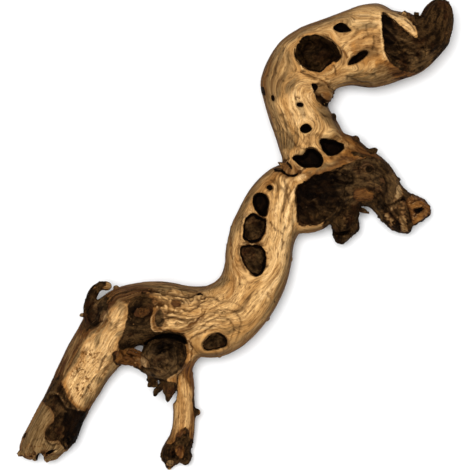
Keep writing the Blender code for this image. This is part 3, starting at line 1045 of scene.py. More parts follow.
def net(block: Block, labels: Array) -> tuple[Array, Array, Array, Array]:
    """Draw four-cornered faces between neighbouring places with different labels.

    Args:
        block: The depths.
        labels: Piece numbers, 0 outside the wood.

    Returns:
        Points, faces, and the labels on the low and the high side of each face.
    """
    base = labels[:-1, :-1, :-1]
    mixed = np.zeros(base.shape, bool)
    halves = (slice(None, -1), slice(1, None))
    for corner in range(1, 8):
        mixed |= labels[tuple(halves[corner >> axis & 1] for axis in range(3))] != base
    cells = np.argwhere(mixed)
    number = np.full(base.shape, -1, np.int32)
    number[mixed] = np.arange(len(cells))
    corners = [np.array([corner >> axis & 1 for axis in range(3)]) for corner in range(8)]
    depth = [block.depth[tuple((cells + corner).T)] for corner in corners]
    label = [labels[tuple((cells + corner).T)] for corner in corners]
    outer_sum, inner_sum = np.zeros((len(cells), 3)), np.zeros((len(cells), 3))
    outer_count, inner_count = np.zeros(len(cells)), np.zeros(len(cells))
    for low in range(8):
        for axis in range(3):
            if low >> axis & 1:
                continue
            high = low | 1 << axis
            unlike = label[low] != label[high]
            outer = unlike & ((label[low] == 0) | (label[high] == 0))
            inner = unlike & ~outer
            gap = depth[low] - depth[high]
            share = np.where(outer, depth[low] / np.where(np.abs(gap) < 1e-9, 1e-9, gap), 0.5)
            place = np.repeat(corners[low][None].astype(float), len(cells), axis=0)
            place[:, axis] += np.clip(share, 0, 1)
            outer_sum += place * outer[:, None]
            inner_sum += place * inner[:, None]
            outer_count += outer
            inner_count += inner
    local = np.where((outer_count > 0)[:, None], outer_sum / np.maximum(outer_count, 1)[:, None],
                     inner_sum / np.maximum(inner_count, 1)[:, None])
    points = (cells + local) * block.step + block.low
    quads, front, back = [], [], []
    for axis in range(3):
        second, third = (axis + 1) % 3, (axis + 2) % 3
        span = [slice(1, -1)] * 3
        span[axis] = halves[0]
        one = labels[tuple(span)]
        span[axis] = halves[1]
        other = labels[tuple(span)]
        places = np.argwhere(one != other)
        offset = np.ones(3, int)
        offset[axis] = 0
        spots = places + offset
        ring = []
        for step_two, step_three in ((-1, -1), (0, -1), (0, 0), (-1, 0)):
            cell = spots.copy()
            cell[:, second] += step_two
            cell[:, third] += step_three
            ring.append(number[tuple(cell.T)])
        quads.append(np.stack(ring, axis=1))
        front.append(one[tuple(places.T)])
        back.append(other[tuple(places.T)])
    return points, np.concatenate(quads), np.concatenate(front), np.concatenate(back)


@dataclass
class Limb:
    """One grown part of the root, with the marks that time has left on it."""

    hollows: tuple[Hollow, ...] = ()
    pits: tuple[Pit, ...] = ()
    growths: tuple[Growth, ...] = ()
    frays: tuple[Fray, ...] = ()
    cracks: tuple[Crack, ...] = ()
    patches: tuple[Patch, ...] = ()

    def shape(self, block: Block) -> None:
        """Grow the nubs, tear the broken ends and wear out the hollows."""
        for growth in self.growths:
            growth.add(block)
        for fray in self.frays:
            fray.tear_off(block)
        for hollow in (*self.hollows, *self.pits):
            hollow.carve(block)

    def mark(self, skin: Skin, block: Block) -> None:
        """Lay stains, cracks and the dark of the hollows on the skin."""
        for patch in self.patches:
            patch.mark(skin)
        for crack in self.cracks:
            crack.mark(skin)
        for hollow in (*self.hollows, *self.pits):
            hollow.darken(skin, block)
        self.work_surface(skin)

    def work_surface(self, skin: Skin) -> None:
        """Add the relief that only this limb has."""


@dataclass
class UpperLimb(Limb):
    """The limb that bends over into a head with an eye hollow and ends in a dark claw."""

    hollows: tuple[Hollow, ...] = marks(Hollow, """
        294,51 296.5,43 303,36.5 312,34.3 320.5,35 328,38.6 335.5,45.3 340,51 342,57 339.8,62.5 334,63.5 328.5,65
            323.5,70.4 319,73.2 312,71.5 304.3,68.5 298.5,63 294.8,57.3 deep=15 bowl=9 lean=0.22 moat=0.4 folds=0.8
            fold_gap=5.6 eye=318,62 rough=0.2 lip=0.5;
        332.6,28.6 336.8,24.6 341.2,23.4 346,25.4 349.6,30 351.5,32 345.6,33.4 341.2,33.8 336,31.6 deep=11 lean=0.15
            lip=0.3;
        346,66.4 348.8,60 355.4,54.6 361.8,51 367,51.4 368.8,55 363.6,59.2 357.4,63.4 351.5,66 deep=9 lean=0.15 lip=0.3;
        381.4,14 386,13.6 388.6,17.6 394.6,20.8 396.4,25.4 401,29 406,31.2 409.6,35 413,36 416.5,39.4 421,44 425,50
            424,58 418,64.5 410,67.4 403,67 396,64.5 389,60 384.5,54 382,45 381,35 380,25 level=46.8 ramp=0.03,0
            lean=0.1 folds=0.5 fold_gap=5 eye=425,10 rough=0.6 dark=0.3;
        300,69.5 304,70 309,72.5 308,74 303,72.8 299.5,71 deep=4 lean=0.1;
        310.6,84.2 313.4,82.8 317.6,84 318.6,87 316.6,90.4 313.6,90.6 311.4,88 deep=8 lean=0.05;
        295.6,103.7 299,102 303,103.5 304,106.6 299.7,107.8 296.4,106.2 deep=6 lean=0.1 lip=0.25;
        296.2,95.3 299,96 301.8,98 299.6,98.6 297,97 deep=3 lean=0.1;
        261,86 263.4,86 265.4,90 265.6,95 263.4,94 261.6,90 deep=6 lean=0;
        270.8,94.6 273.4,94.6 275.2,98 274.8,101.4 272.4,101.6 270.8,98.4 deep=6 lean=0.05;
        299.2,129.2 302.6,125.5 306.6,124 309,125.6 311.4,128.4 314,128.2 310,131.2 305.2,133.6 301.6,132.4 deep=8
            lean=0.12 lip=0.3;
        318,141.2 321,138.4 325.7,138.4 329.6,140 335,139.6 339,142.3 343.6,143.2 345.8,147.3 342,151.6 338,155
            332.6,156.6 327,155.4 323,151.6 320.8,147.3 deep=15 lean=0.1 rough=0.4 lip=0.4;
        291,158 295.9,155.4 302,156.6 305,154 306,150.2 310.4,148 315,148.8 319,152.4 322.4,156.5 323.6,161.1 321.6,166
            317.3,168 312.7,167 305.1,167.6 299.7,165.4 295.6,161.4 deep=15 lean=0.1 rough=0.4 lip=0.4;
        274,169 279.6,168.2 284,169.6 287.4,173.2 292,174.8 296.8,173.4 299,170.6 298.6,174.4 294.6,177.2 289.6,177.6
            284.6,175 280.6,172.4 275,171.6 deep=8 lean=0.15 rough=0.7;
        286.6,161.6 289.6,162.4 292.4,165.4 293.2,169.8 290.8,171 288.8,167.6 deep=6 lean=0.15 rough=0.5
    """)
    pits: tuple[Pit, ...] = marks(Pit, """
        343,118,22 5,8,5;
        356,20,26 9,6,5;
        268,128,20 5,7,4;
        360,86,22 10,5,6
    """)
    growths: tuple[Growth, ...] = marks(Growth, """
        323.5,95,38 8,6.4,7.5 40;
        333.2,117,30 2.2,2.6,3;
        284,165.6,40 5.6,1.5,4 -28 0.3 2;
        304,175.6,42.4 8.6,2.2,3.4 32 0.3 3;
        356.4,138.4,31 2.4,1.6,2.4 -40;
        373,150.6,31 3.8,2.2,3 12;
        309.5,125.6,49 1.8,1.3,3 30 0.2;
        417,16.5,40 2.2,4,2.6 30;
        413,17,44 3.5,2.2,2.4 -20;
        405.6,12.6,42 2.6,1.5,2 -20 0.4
    """)
    frays: tuple[Fray, ...] = marks(Fray, """
        412,20,44 12 1.6 3
    """)
    cracks: tuple[Crack, ...] = marks(Crack, """
        310.4,84 312.6,91 318,98 324,106 328,112 0.9 -0.4 0.8 BLEACH;
        314,89 318,95 323,101 327,105 1.8 2.6 1;
        300,71 305,74.6 311,77 317,79.4 1.1 1.4 0.9;
        318,79 325,82 330,87 1 0.8 0.7 RUST;
        294.6,99.6 297,97.4 300.4,98.4 0.7 1 0.9;
        333,66 336,71 335,76 1 0.9 0.7 RUST;
        341,51 345,54 347,60 1.2 0.8 0.7 RUST;
        397,12 403,14 408,17 412,20.6 415,26 1.1 1.8 1;
        403,18.6 408,21.6 412.4,27 415.6,33 0.8 1 0.9;
        386,12.6 393,14.6 399,18.4 0.7 0.8 0.8;
        400,24 406,27 411,32 0.7 0.7 0.6 RUST;
        384,24 390,31 398,38 408,42 416,44 1 -0.6 0.5 DUST;
        388,54 396,58 404,62 412,63 0.9 0.9 0.9;
        396,46 402,52 409,55 417,56 0.9 0.9 0.9;
        400,40 408,47 416,52 420,60 1.1 1.1 0.9;
        380.5,12 379,20 380.5,32 381,44 382,55 388,62 1.1 -0.8 0.7 BLEACH;
        306,136 315,134 322,136 330,136 0.8 0.5 0.4;
        298,173 301.6,169.6 306,167.4 0.9 1.2 0.9;
        278,163 284,161 290,158 0.9 1.2 0.7;
        280,120 290,128 300,138 306,146 0.7 0.6 0.5;
        276,122 283,130 292,141 298,150 0.7 0.6 0.5;
        306,58 300,66 303,72 0.8 -0.6 0.6 BLEACH;
        345,79 355,76 366,74 376,76 0.9 0.8 0.7;
        319,139 322,146 326,152 331,157 1 -0.6 0.9 BLEACH;
        344,76 352,79 362,82 372,83 0.8 0.7 0.6;
        370,22 366,26 365,33 368,38 0.7 0.6 0.6;
        372,36 373,44 371,52 0.8 0.7 0.7
    """)
    patches: tuple[Patch, ...] = marks(Patch, """
        BARK 1 381,12 385.6,14.6 395,22.6 402,30 411,36 416.6,38.6 418,34 418,24 420,13 430,3 440,-3 454,5 456,30 450,44
            436,58 424,69.5 414,72 405,71 396,67.5 388,62 382.5,54 1.6 0.9;
        BARK 1 403,10 408,7 418,8 421,18 420.4,34 418,37.4 416.4,29 412,21 407,15 2 1;
        BARK -0.5 403,11 412,10 416,18 414,24 408,18 2.5 2.5;
        AMBER 0.95 375,60 386,62 396,67 408,70.5 424,70 412,78 392,86 377,84 375,72 2.5 1.5;
        GREY 0.6 374,64 390,66 406,72 424,72 408,80 390,88 374,86 3 1.5;
        RUST 0.8 384,60 392,66 402,69 413,71 424,70 408,79 392,77 384,68 2.5 2 streaky=0.4;
        GREY 0.85 343,76 356,72 370,68 377,74 379,84 366,90 346,88 3 2 streaky=0.6;
        BARK 0.6 384,60 392,67 402,71 413,73 424,71 408,80 394,80 386,72 3.5 2 streaky=0.6;
        HOLLOW 0.4 296,46 304,38 316,36 328,42 334,54 326,62 312,66 300,60 5 3;
        DUST 0.7 410,54 424,50 436,52 428,64 414,70 404,66 4 3 scale=4;
        HOLLOW 0.8 381,16 386,17 392,24 398,32 396,42 388,44 382,40 4 3;
        AMBER 0.6 350,34 362,30 374,34 376,52 364,58 352,50 5 3 streaky=0.6;
        GREY 0.8 256,66 272,44 290,50 296,70 300,84 288,96 272,106 256,96 7 3 streaky=0.45;
        RUST 0.5 258,70 272,54 284,60 288,78 280,92 268,100 258,90 7 3 streaky=0.8;
        GREY 1 256,92 272,98 282,116 294,136 296,148 280,150 266,136 258,112 4 2 streaky=0.7;
        RUST 0.35 276,112 286,126 296,140 290,146 278,132 270,116 3 2 streaky=1;
        AMBER 0.45 296,134 312,134 322,138 312,146 300,150 288,150 4 2 streaky=0.6;
        GREY 0.6 312,104 326,106 338,116 348,130 356,138 348,140 332,128 318,116 5 2 streaky=0.6;
        AMBER 0.9 345,134 356,138 368,148 380,156 384,162 372,160 356,160 340,168 330,171 337,160 347,151 349,143 3 1.5
            streaky=0.5;
        RUST 0.6 354,142 366,149 378,157 366,158 354,156 350,150 4 2.5 streaky=0.8;
        AMBER 0.9 314,160 332,156 346,148 352,158 340,167 326,173 310,178 300,174 304,167 3 1.5 streaky=0.3;
        GREY 0.8 320,164 336,158 352,152 356,160 342,167 326,172 312,174 3 1.5 streaky=0.8;
        RUST 0.8 334,128 348,132 362,141 378,150 392,164 372,160 354,164 340,169 334,162 346,151 342,141 4 2.5
            streaky=0.5;
        BARK 0.8 351,134 360,136 374,146 386,152 394,162 384,162 370,157 356,158 350,160 352,150 358,146 4 2.5
            streaky=0.6;
        BARK 0.75 331,112 341,112 342,124 333,122 2.5 1;
        RUST 0.7 274,162 286,158 296,164 302,168 304,174 290,181 278,176 272,170 4 2 streaky=0.4;
        BARK 0.3 276,164 286,161 295,166 300,172 291,179 279,174 4 2 streaky=0.4;
        BLEACH 0.6 296,176 303,173 312,170 322,168 314,174 304,179 294,182 2 1;
        BARK 0.9 364,145 372,145.6 379,148 377,153 369,152.6 1.6 0.8;
        BARK 0.8 352,135 358,136.6 359,141 354,140.6 1.6 0.8;
        GREY 0.5 314,80 326,80 336,88 335,104 326,107 316,99 3 1.6;
        AMBER 0.85 314,82 328,80 336,90 332,100 320,98 3 1.5 streaky=0.3;
        RUST 0.7 318,92 328,91 334,95 330,103 320,101 2 1.5;
        BARK 0.9 316,94 322,97 330,100 335,98 334,106 325,107 317,101 2 1;
        RUST 0.55 338,47 344,50 348,57 346,66 340,66 342,58 2.5 1.5;
        AMBER 0.75 346,42 356,34 368,29 379,26 381,58 372,66 362,68 356,58 346,52 5 3 streaky=0.7;
        GREY 0.5 350,30 366,22 379,24 380,56 366,60 352,48 5 3 streaky=0.9;
        AMBER 0.6 286,46 300,34 312,28 330,30 342,42 344,56 332,70 316,78 300,74 290,62 4 2.5 streaky=0.7;
        GREY 0.6 296,28 318,18 340,12 352,12 350,17 332,22 310,29 296,40 284,46 4 3 streaky=0.9;
        AMBER 0.5 317,72 330,68 344,68 350,76 334,82 322,80 4 2 streaky=0.7;
        BLEACH 0.6 385.5,11 390,10 400,12 405,16 411,23 415.4,30 417,36.6 412,35 404,29.5 397,24 390,17 1.5 0.8
            lift=0.4;
        BLEACH 0.6 284,92 304,86 314,100 314,126 298,130 284,112 6 3 streaky=0.6;
        BLEACH 0.5 352,14 376,12 378,30 366,36 350,24 5 3 streaky=0.7
    """)

    def work_surface(self, skin: Skin) -> None:
        """Fold the claw's dark core in nested arcs."""
        fold_rings(skin, (410, 14), "383,14 398,27 414,39 424,40 434,46 430,60 414,71 392,64 382,50", 7.4, 0.5, 0.3)


def fold_rings(skin: Skin, eye: Spot, outline: str, gap: float, high: float, dusty: float) -> None:
    """Raise rings of folded wood round an eye, with painted shade in the grooves and painted highlight on the tops.

    Args:
        skin: What the folds are raised on.
        eye: Middle of the rings, on the marking grid.
        outline: Spots of the outline that the folds lie in.
        gap: Distance between rings in millimetres.
        high: Height of a fold in millimetres.
        dusty: How pale the tops of the folds are, as painted highlight.
    """
    index, away, points = skin.under(path(outline), 2.0)
    x, y = to_mm(eye)[0]
    reach = np.hypot(points[:, 0] - x, points[:, 1] - y)
    ring = (reach + 6.0 * WARP.at(points, 11.0) + 2.2 * WARP.at(points, 4.2)) / gap
    fold = 1 - 2 * np.abs(ring - np.floor(ring) - 0.5)
    share = smooth(-away, -1.5, 1.5)
    skin.lift[index] += high * (fold - 0.5) * share * (0.6 + 0.4 * COARSE.at(points, 9.0))
    # painted shade in the grooves between the folds
    skin.paint(CREASE, index, smooth(0.28 - fold, 0.0, 0.28) * share * 0.7)
    # painted highlight on the tops of the folds
    skin.paint(DUST, index, smooth(fold, 0.72, 1.0) * share * dusty)


def flake_off(skin: Skin, index: Array, share: Array, size: float, high: float) -> None:
    """Break the surface into thin flakes along the grain, each with painted shade along its edge.

    Args:
        skin: What the flakes are on.
        index: Numbers of the points they cover.
        share: How strong they are at each point.
        size: Width of a flake in millimetres.
        high: Thickness of a flake in millimetres.
    """
    level = COARSE.at(skin.grain[index] * (1.0, 1.0, 0.8) + 3.0, size) + 0.3 * WARP.at(skin.points[index], 5.0)
    level += 0.1 * FINE.at(skin.points[index], 2.2)
    for start in (-0.3, 0.12, 0.46):
        step = smooth(level, start, start + 0.1)
        skin.lift[index] += high * (step - 0.5) * share
        edge = smooth(level, start - 0.1, start - 0.02) * (1 - smooth(level, start, start + 0.05))
        # painted shade at the foot of each flake's step
        skin.paint(CREASE, index, edge * share)
        foot = smooth(level, start - 0.3, start - 0.05) * (1 - smooth(level, start, start + 0.08))
        skin.paint(RUST, index, foot * share * 0.55)
        skin.paint(BLEACH, index, step * (1 - smooth(level, start + 0.1, start + 0.3)) * share * 0.6)


@dataclass
class Trunk(Limb):
    """The stout middle, from the elbow over the low bend up to the fork."""

    hollows: tuple[Hollow, ...] = marks(Hollow, """
        265.2,186.6 268,184 272.4,184.8 274,189 270.8,191.4 267,190 deep=6 lean=0.1 lip=0.3;
        252.4,199.8 253.6,195.2 258,192.2 263.2,193 267.6,196 269.8,202.2 268.6,207.2 267.2,211.6 266.8,215.8
            263.9,216.8 260.4,216 257,211.6 254.4,208.2 252.8,204 deep=15 lean=0.08 rough=0.3 lip=0.4;
        244.5,219 247.8,215.2 252,213.2 255.6,213.8 258.4,217 263,218.4 266.8,219.4 266.4,224.6 265.2,232.1 262.6,238.2
            257.3,242 251.5,242.4 245.5,240.8 242.2,236.2 243,228.8 243.6,223 deep=3.2 bowl=1.4 moat=2.4 folds=0.9
            fold_gap=4.6 eye=249,236 rough=0.45 lip=0.5 dusty=0.12;
        239.4,247 245.5,244.9 252.3,244.8 258.3,245.8 262.7,248.3 265.2,252.8 266,259.5 265.7,266.1 262.7,271.4
            259.2,275.7 255.6,276.5 250.3,273.2 245.2,266.5 241.8,259.5 239.8,253.7 deep=3.2 bowl=1.6 moat=2.2 folds=1.3
            fold_gap=5.4 eye=250,252 rough=0.45 lip=0.5 dusty=0.2;
        201.6,344.3 206.8,336.4 212.9,332.3 219.8,332.3 225.8,336.2 228.3,342.3 225.8,347.4 217.9,349.5 211,351
            205.3,351.5 202,348.3 deep=7 bowl=5 lean=0.2 moat=1 folds=0.9 fold_gap=5 eye=212,345 rough=0.4 lip=0.5
            dusty=0.3;
        296.6,186 304.5,184.4 308.7,180.4 314.5,175 322.8,173.6 331,171.6 340,172 347,180 345,194 340,208 331,216
            322.8,220.6 312.8,223.4 306.2,225.2 302.6,224 298.8,222.4 297,210 296.2,198 level=39.2 ramp=0.2,0.05
            lean=0.05 folds=0.8 fold_gap=6.5 eye=390,90 rough=0.6 dark=0.5 worn=2.2;
        267,290.5 269.5,293 273,297.5 275.6,302 274.4,303 271,299.5 267.6,295 deep=3.5 lean=0.05 rough=0.15 dark=0.8;
        195,294.8 199.5,292.6 203.6,295.6 199.5,295.4 deep=3 lean=0 rough=0.1;
        156.6,306.4 161.2,303.4 165.6,307.2 161.2,305.8 deep=3 lean=0 rough=0.1;
        166.4,324 172.6,322.8 180,324.2 174,326 deep=3.2 lean=0 rough=0.2;
        142.5,344.5 148,339.4 156,335.6 166,333.4 176,333.8 183.6,337.6 188,344 184.6,344.6 179,339.6 169,337.2
            158,338.8 150,342.2 146,346 deep=13 lean=0 bowl=1.5 rough=0.3;
        134.6,349 138.6,346.2 143.2,347.2 142,350.4 138.8,352.8 135.8,351.4 deep=70 lean=0 rough=0.1 bowl=0.3 high=30
    """)
    pits: tuple[Pit, ...] = marks(Pit, """
        297,262,24 5,9,7;
        262,308,18 9,8,6;
        228,236,26 4,8,6;
        216,285,24 9,4,5;
        165,283,26 10,4,6;
        222,352,20 8,4,5
    """)
    growths: tuple[Growth, ...] = marks(Growth, """
        251.1,232.9,48.5 3,3,2.2 0 0.25;
        291.2,259.5,28 1.8,1.8,1.8;
        219,356.4,26 2.4,1.6,2.2;
        116.4,288,33 2.4,2.4,2.4;
        266,318,24 3.2,3,4;
        300.4,228.8,42 1.6,1.6,1.6 0 0.1;
        141,312.6,54 8.6,6,2.8 16 0.3 1
    """)
    cracks: tuple[Crack, ...] = marks(Crack, """
        283,178 285.6,186 288,196 289,204 0.8 1;
        270,221 271.6,224 273,227 0.8 0.9;
        274,227 276,231 0.9 0.8;
        281,231 281.8,234 0.8 0.8;
        282,238 283,245 282.4,250 0.8 0.8;
        290,200 293,212 294,226 292,238 0.8 0.6 0.5;
        238,243 237.4,250 239,257 242,265 247,273 1.1 1.4 0.8;
        243,214 240.4,222 238.6,232 239.6,241 0.9 1 0.6;
        241,243 248,242.6 257,243.4 264,245 1.2 1.2 0.9;
        265.4,218 268,226 266,236 263.6,242 0.8 -0.5 0.7 BLEACH;
        231,236 230,246 231,256 231.6,262 0.8 0.7 0.8 RUST;
        189.4,339.4 195,335.6 203,331.6 210.6,327.6 216,325.6 1 1.6;
        193,333 201,327 210,320 220,316 229,318 234,326 233,336 228,346 0.8 0.8 0.6;
        197,326 206,318 216,311 228,308 238,313 242,324 239,336 230,350 0.8 0.8 0.6;
        205,315 214,306 226,300 240,304 248,314 0.7 0.6 0.5;
        149.4,291.4 152,290.2 156.5,290.4 160.4,291.6 1.2 1.6 1;
        154.4,305.8 157,304 160,303.6 162.4,305 165,307 1.3 1.8 1;
        160,294.4 167.3,293.3 178,294.8 187,297 194.2,294.8 199,293.3 1.3 1.8 1;
        163.7,318.4 170.9,316.8 177.1,317.2 184.3,321 190.6,320.1 194.4,318 1.3 1.8 1;
        164,312 170,311 177,313 183,312.4 1 1.2 0.8;
        168,300 174,298.4 182,300 185,303.6 1 1.2 0.9;
        181.6,307.6 186,310.3 192.4,309.6 200,305 206,300 1.1 1.4 0.9;
        196,300 204,296.6 212,296 219,299 0.9 1 0.8;
        186,326 194,322.4 201,316 207,309 1 1 0.7 RUST;
        210,300 215,298 220,301 0.8 0.9 0.7;
        221.4,312.6 224,312 226,311 0.9 1.2;
        151.6,317 152.4,324 153.6,331 161,331.4 167,328 1 -0.9 0.5 BLEACH;
        184,334.6 188.4,340 190.4,347 189.4,356 185.4,363.6 178,370.4 170,377 1.2 -1.2 0.9 BLEACH;
        187,338 192.4,346 191.4,358 186.6,366 0.9 0.9 0.8 RUST;
        131.6,314.6 136,319.6 143,320 150,316 152.4,309.4 1.2 1.4 1;
        131.6,314 133,308.6 139,305.4 147,305 1.1 1.2 1
    """)
    patches: tuple[Patch, ...] = marks(Patch, """
        BARK -1 296,150 318,128 338,118 356,128 372,142 396,160 393,168 388,163 381,160 371,157.4 356,161.4 342,167
            330,171 318,176 300,184 4 1.8;
        BARK 1 127.4,304 131.6,300 138.3,297.4 144,291.6 150,299 154.6,307.8 151.4,317.4 151,325.1 154,332 166,331.4
            178,331 188,334 188,344 170,342 156,343 146,349 143,356 128,356 116,350 117.5,338 125,327 127.4,316 3.4 1.4
            lift=-0.8;
        GREY 0.95 96,300 112,287 128,282 150,280 176,284 170,290 150,293 146,300 136,300 129,305 118,303 110,308 100,318
            3 1.5;
        RUST 0.8 98,296 112,289 128,286 146,285 152,290 146,298 129,304 119,301 110,305 100,316 95,308 3 2 streaky=1;
        BARK 0.6 96,298 106,291 118,288 128,286 140,286 150,288 157,293 154,302 146,304 138,300 129,306 120,301 112,303
            104,312 96,322 92,310 5 2.4 streaky=0.5;
        BARK 0.4 84,318 98,304 112,303 118,306 112,316 104,326 96,336 84,342 78,334 6 3 streaky=0.7;
        RUST 0.6 84,318 98,304 112,303 118,306 112,316 104,326 96,336 84,342 78,334 6 3 streaky=0.5;
        GREY 0.4 150,284 180,286 206,290 212,296 196,300 180,312 168,322 152,326 5 3 streaky=0.9;
        RUST 0.4 150,288 160,290 160,298 156,312 156,322 151,322 4 2.5 streaky=0.8;
        GREY 0.85 120,282 140,278 170,280 200,284 224,274 232,282 214,290 190,292 160,288.6 130,289.6 2.5 1.2
            streaky=0.5;
        BARK 0.8 156,312 162,309 164.6,316 163.6,325 158,327 154.6,320 3 1.8;
        DUST 0.6 156,312 162,309 164.6,316 163.6,325 158,327 154.6,320 3 1.8;
        RUST 0.5 151,308 158,300 168,304 170,316 164,330 154,332 151,322 3 1.8 streaky=0.5;
        BARK -0.5 131.4,313.6 133.4,308.6 138,304.8 144.4,303.8 149.4,305.4 150.6,310 148,315.4 142,319 135,318.8 1.6
            0.7;
        AMBER 0.95 131.4,313.6 133.4,308.6 138,304.8 144.4,303.8 149.4,305.4 150.6,310 148,315.4 142,319 135,318.8 1.2
            0.5;
        RUST 0.9 131.4,313.6 133.4,308.6 138,304.8 144.4,303.8 149.4,305.4 150.6,310 148,315.4 142,319 135,318.8 2.4
            1.5;
        DUST 0.3 122,322 136,322 148,322 150,334 136,344 122,340 5 3 scale=4;
        RUST 0.85 171,300.6 176,299 182,303 181,308 173,308 2 1.5;
        RUST 0.7 153,333 166,329 182,328 194,320.6 204,312.6 207,315 199,323.6 190,332.6 176,333.6 160,334 1.6 0.9
            streaky=0.3;
        AMBER 0.3 150,296 168,297 176,304 170,316 160,318 152,308 4 2.5 streaky=0.8;
        AMBER 0.3 165,296 204,298 214,304 204,310 182,310 166,306 4 2.5 streaky=0.9;
        AMBER 0.55 228,262 238,258 241,276 238,296 228,302 222,294 228,280 3 2 streaky=0.7;
        RUST 0.5 232,272 236,272 237,290 233,297 230,290 2 1.5 streaky=1;
        AMBER 0.55 232,222 240,216 242,232 238,250 242,266 250,277 244,284 234,272 229,252 229,236 3 1.6 streaky=0.6;
        RUST 0.35 262,218 270,224 270,240 264,248 240,246 240,241 262,242 2.5 1.5;
        GREY 0.8 228,232 234,210 246,190 256,178 262,184 252,196 246,208 242,214 236,232 228,250 3 1.5 streaky=0.6;
        AMBER 0.8 252,178 268,170 280,172 276,182 262,190 252,194 248,190 3 1.5 streaky=0.5;
        BLEACH 0.75 272,182 284,176 296,186 298,210 294,240 286,270 272,296 258,306 262,280 272,250 272,216 5 3
            streaky=0.8;
        GREY 0.6 288,232 300,228 296,246 292,272 284,296 272,316 262,326 268,304 280,280 286,256 4 2 streaky=0.6;
        AMBER 0.5 296,222 312,224 330,218 338,212 344,222 326,230 300,236 292,248 290,236 3 1.5 streaky=0.6;
        BARK 1 296,186 304,184 309,180 315,174.6 323,173.4 332,171 350,166 352,200 340,212 331,217 323,221.5 313,224.4
            306,226 301,224.6 298,222 296.4,208 2 1;
        BARK -1 297,223 304,226.6 313,225.4 322,222.4 329,217.6 334,221 326,232 300,244 288,236 3 1.2;
        HOLLOW 0.75 297,188 308,181 320,176 332,173 346,172 348,190 336,196 318,204 306,214 299,212 5 6 streaky=0.3
            scale=5;
        RUST 0.6 306,176 316,170 330,166 340,164 336,172 318,178 304,186 3 1.6 streaky=0.4;
        GREY 0.6 226,352 240,340 254,328 262,322 258,336 244,350 224,360 3 1.5 streaky=1;
        AMBER 0.95 180,369 185,362 190,366 189,376 183,380 2.5 1.5;
        RUST 0.5 182,370 186,365 189,370 186,377 2 1.5;
        AMBER 0.7 184,352 192,342 202,350 196,362 188,372 178,378 3 1.5 streaky=0.5;
        RUST 0.35 216,330 228,332 231,340 227,350 210,354 203,352 222,348 2 1.5;
        BLEACH 0.5 190,326 206,316 222,322 214,330 200,338 192,338 4 2 streaky=0.7
    """)
    flakes: Outline = path("""
        147,287 168,286 190,289 206,291 214,296 210,304 204,313 192,325 168,331 154,331 151,318 156,306 150,298""")

    def work_surface(self, skin: Skin) -> None:
        """Break the flank of the low bend into flakes, and fold the dark recess at the fork."""
        index, away, points = skin.under(self.flakes, 4.0)
        share = smooth(-away + 2.0 * COARSE.at(points, 7.0), -1.0, 4.0) * skin.upward[index]
        flake_off(skin, index, share * 0.62, 10.5, 0.9)
        fold_rings(skin, (400, 110), "297,187 312,178 330,172 350,168 352,198 342,208 326,218 304,225 298,214",
                   7.5, 0.8, 0.12)


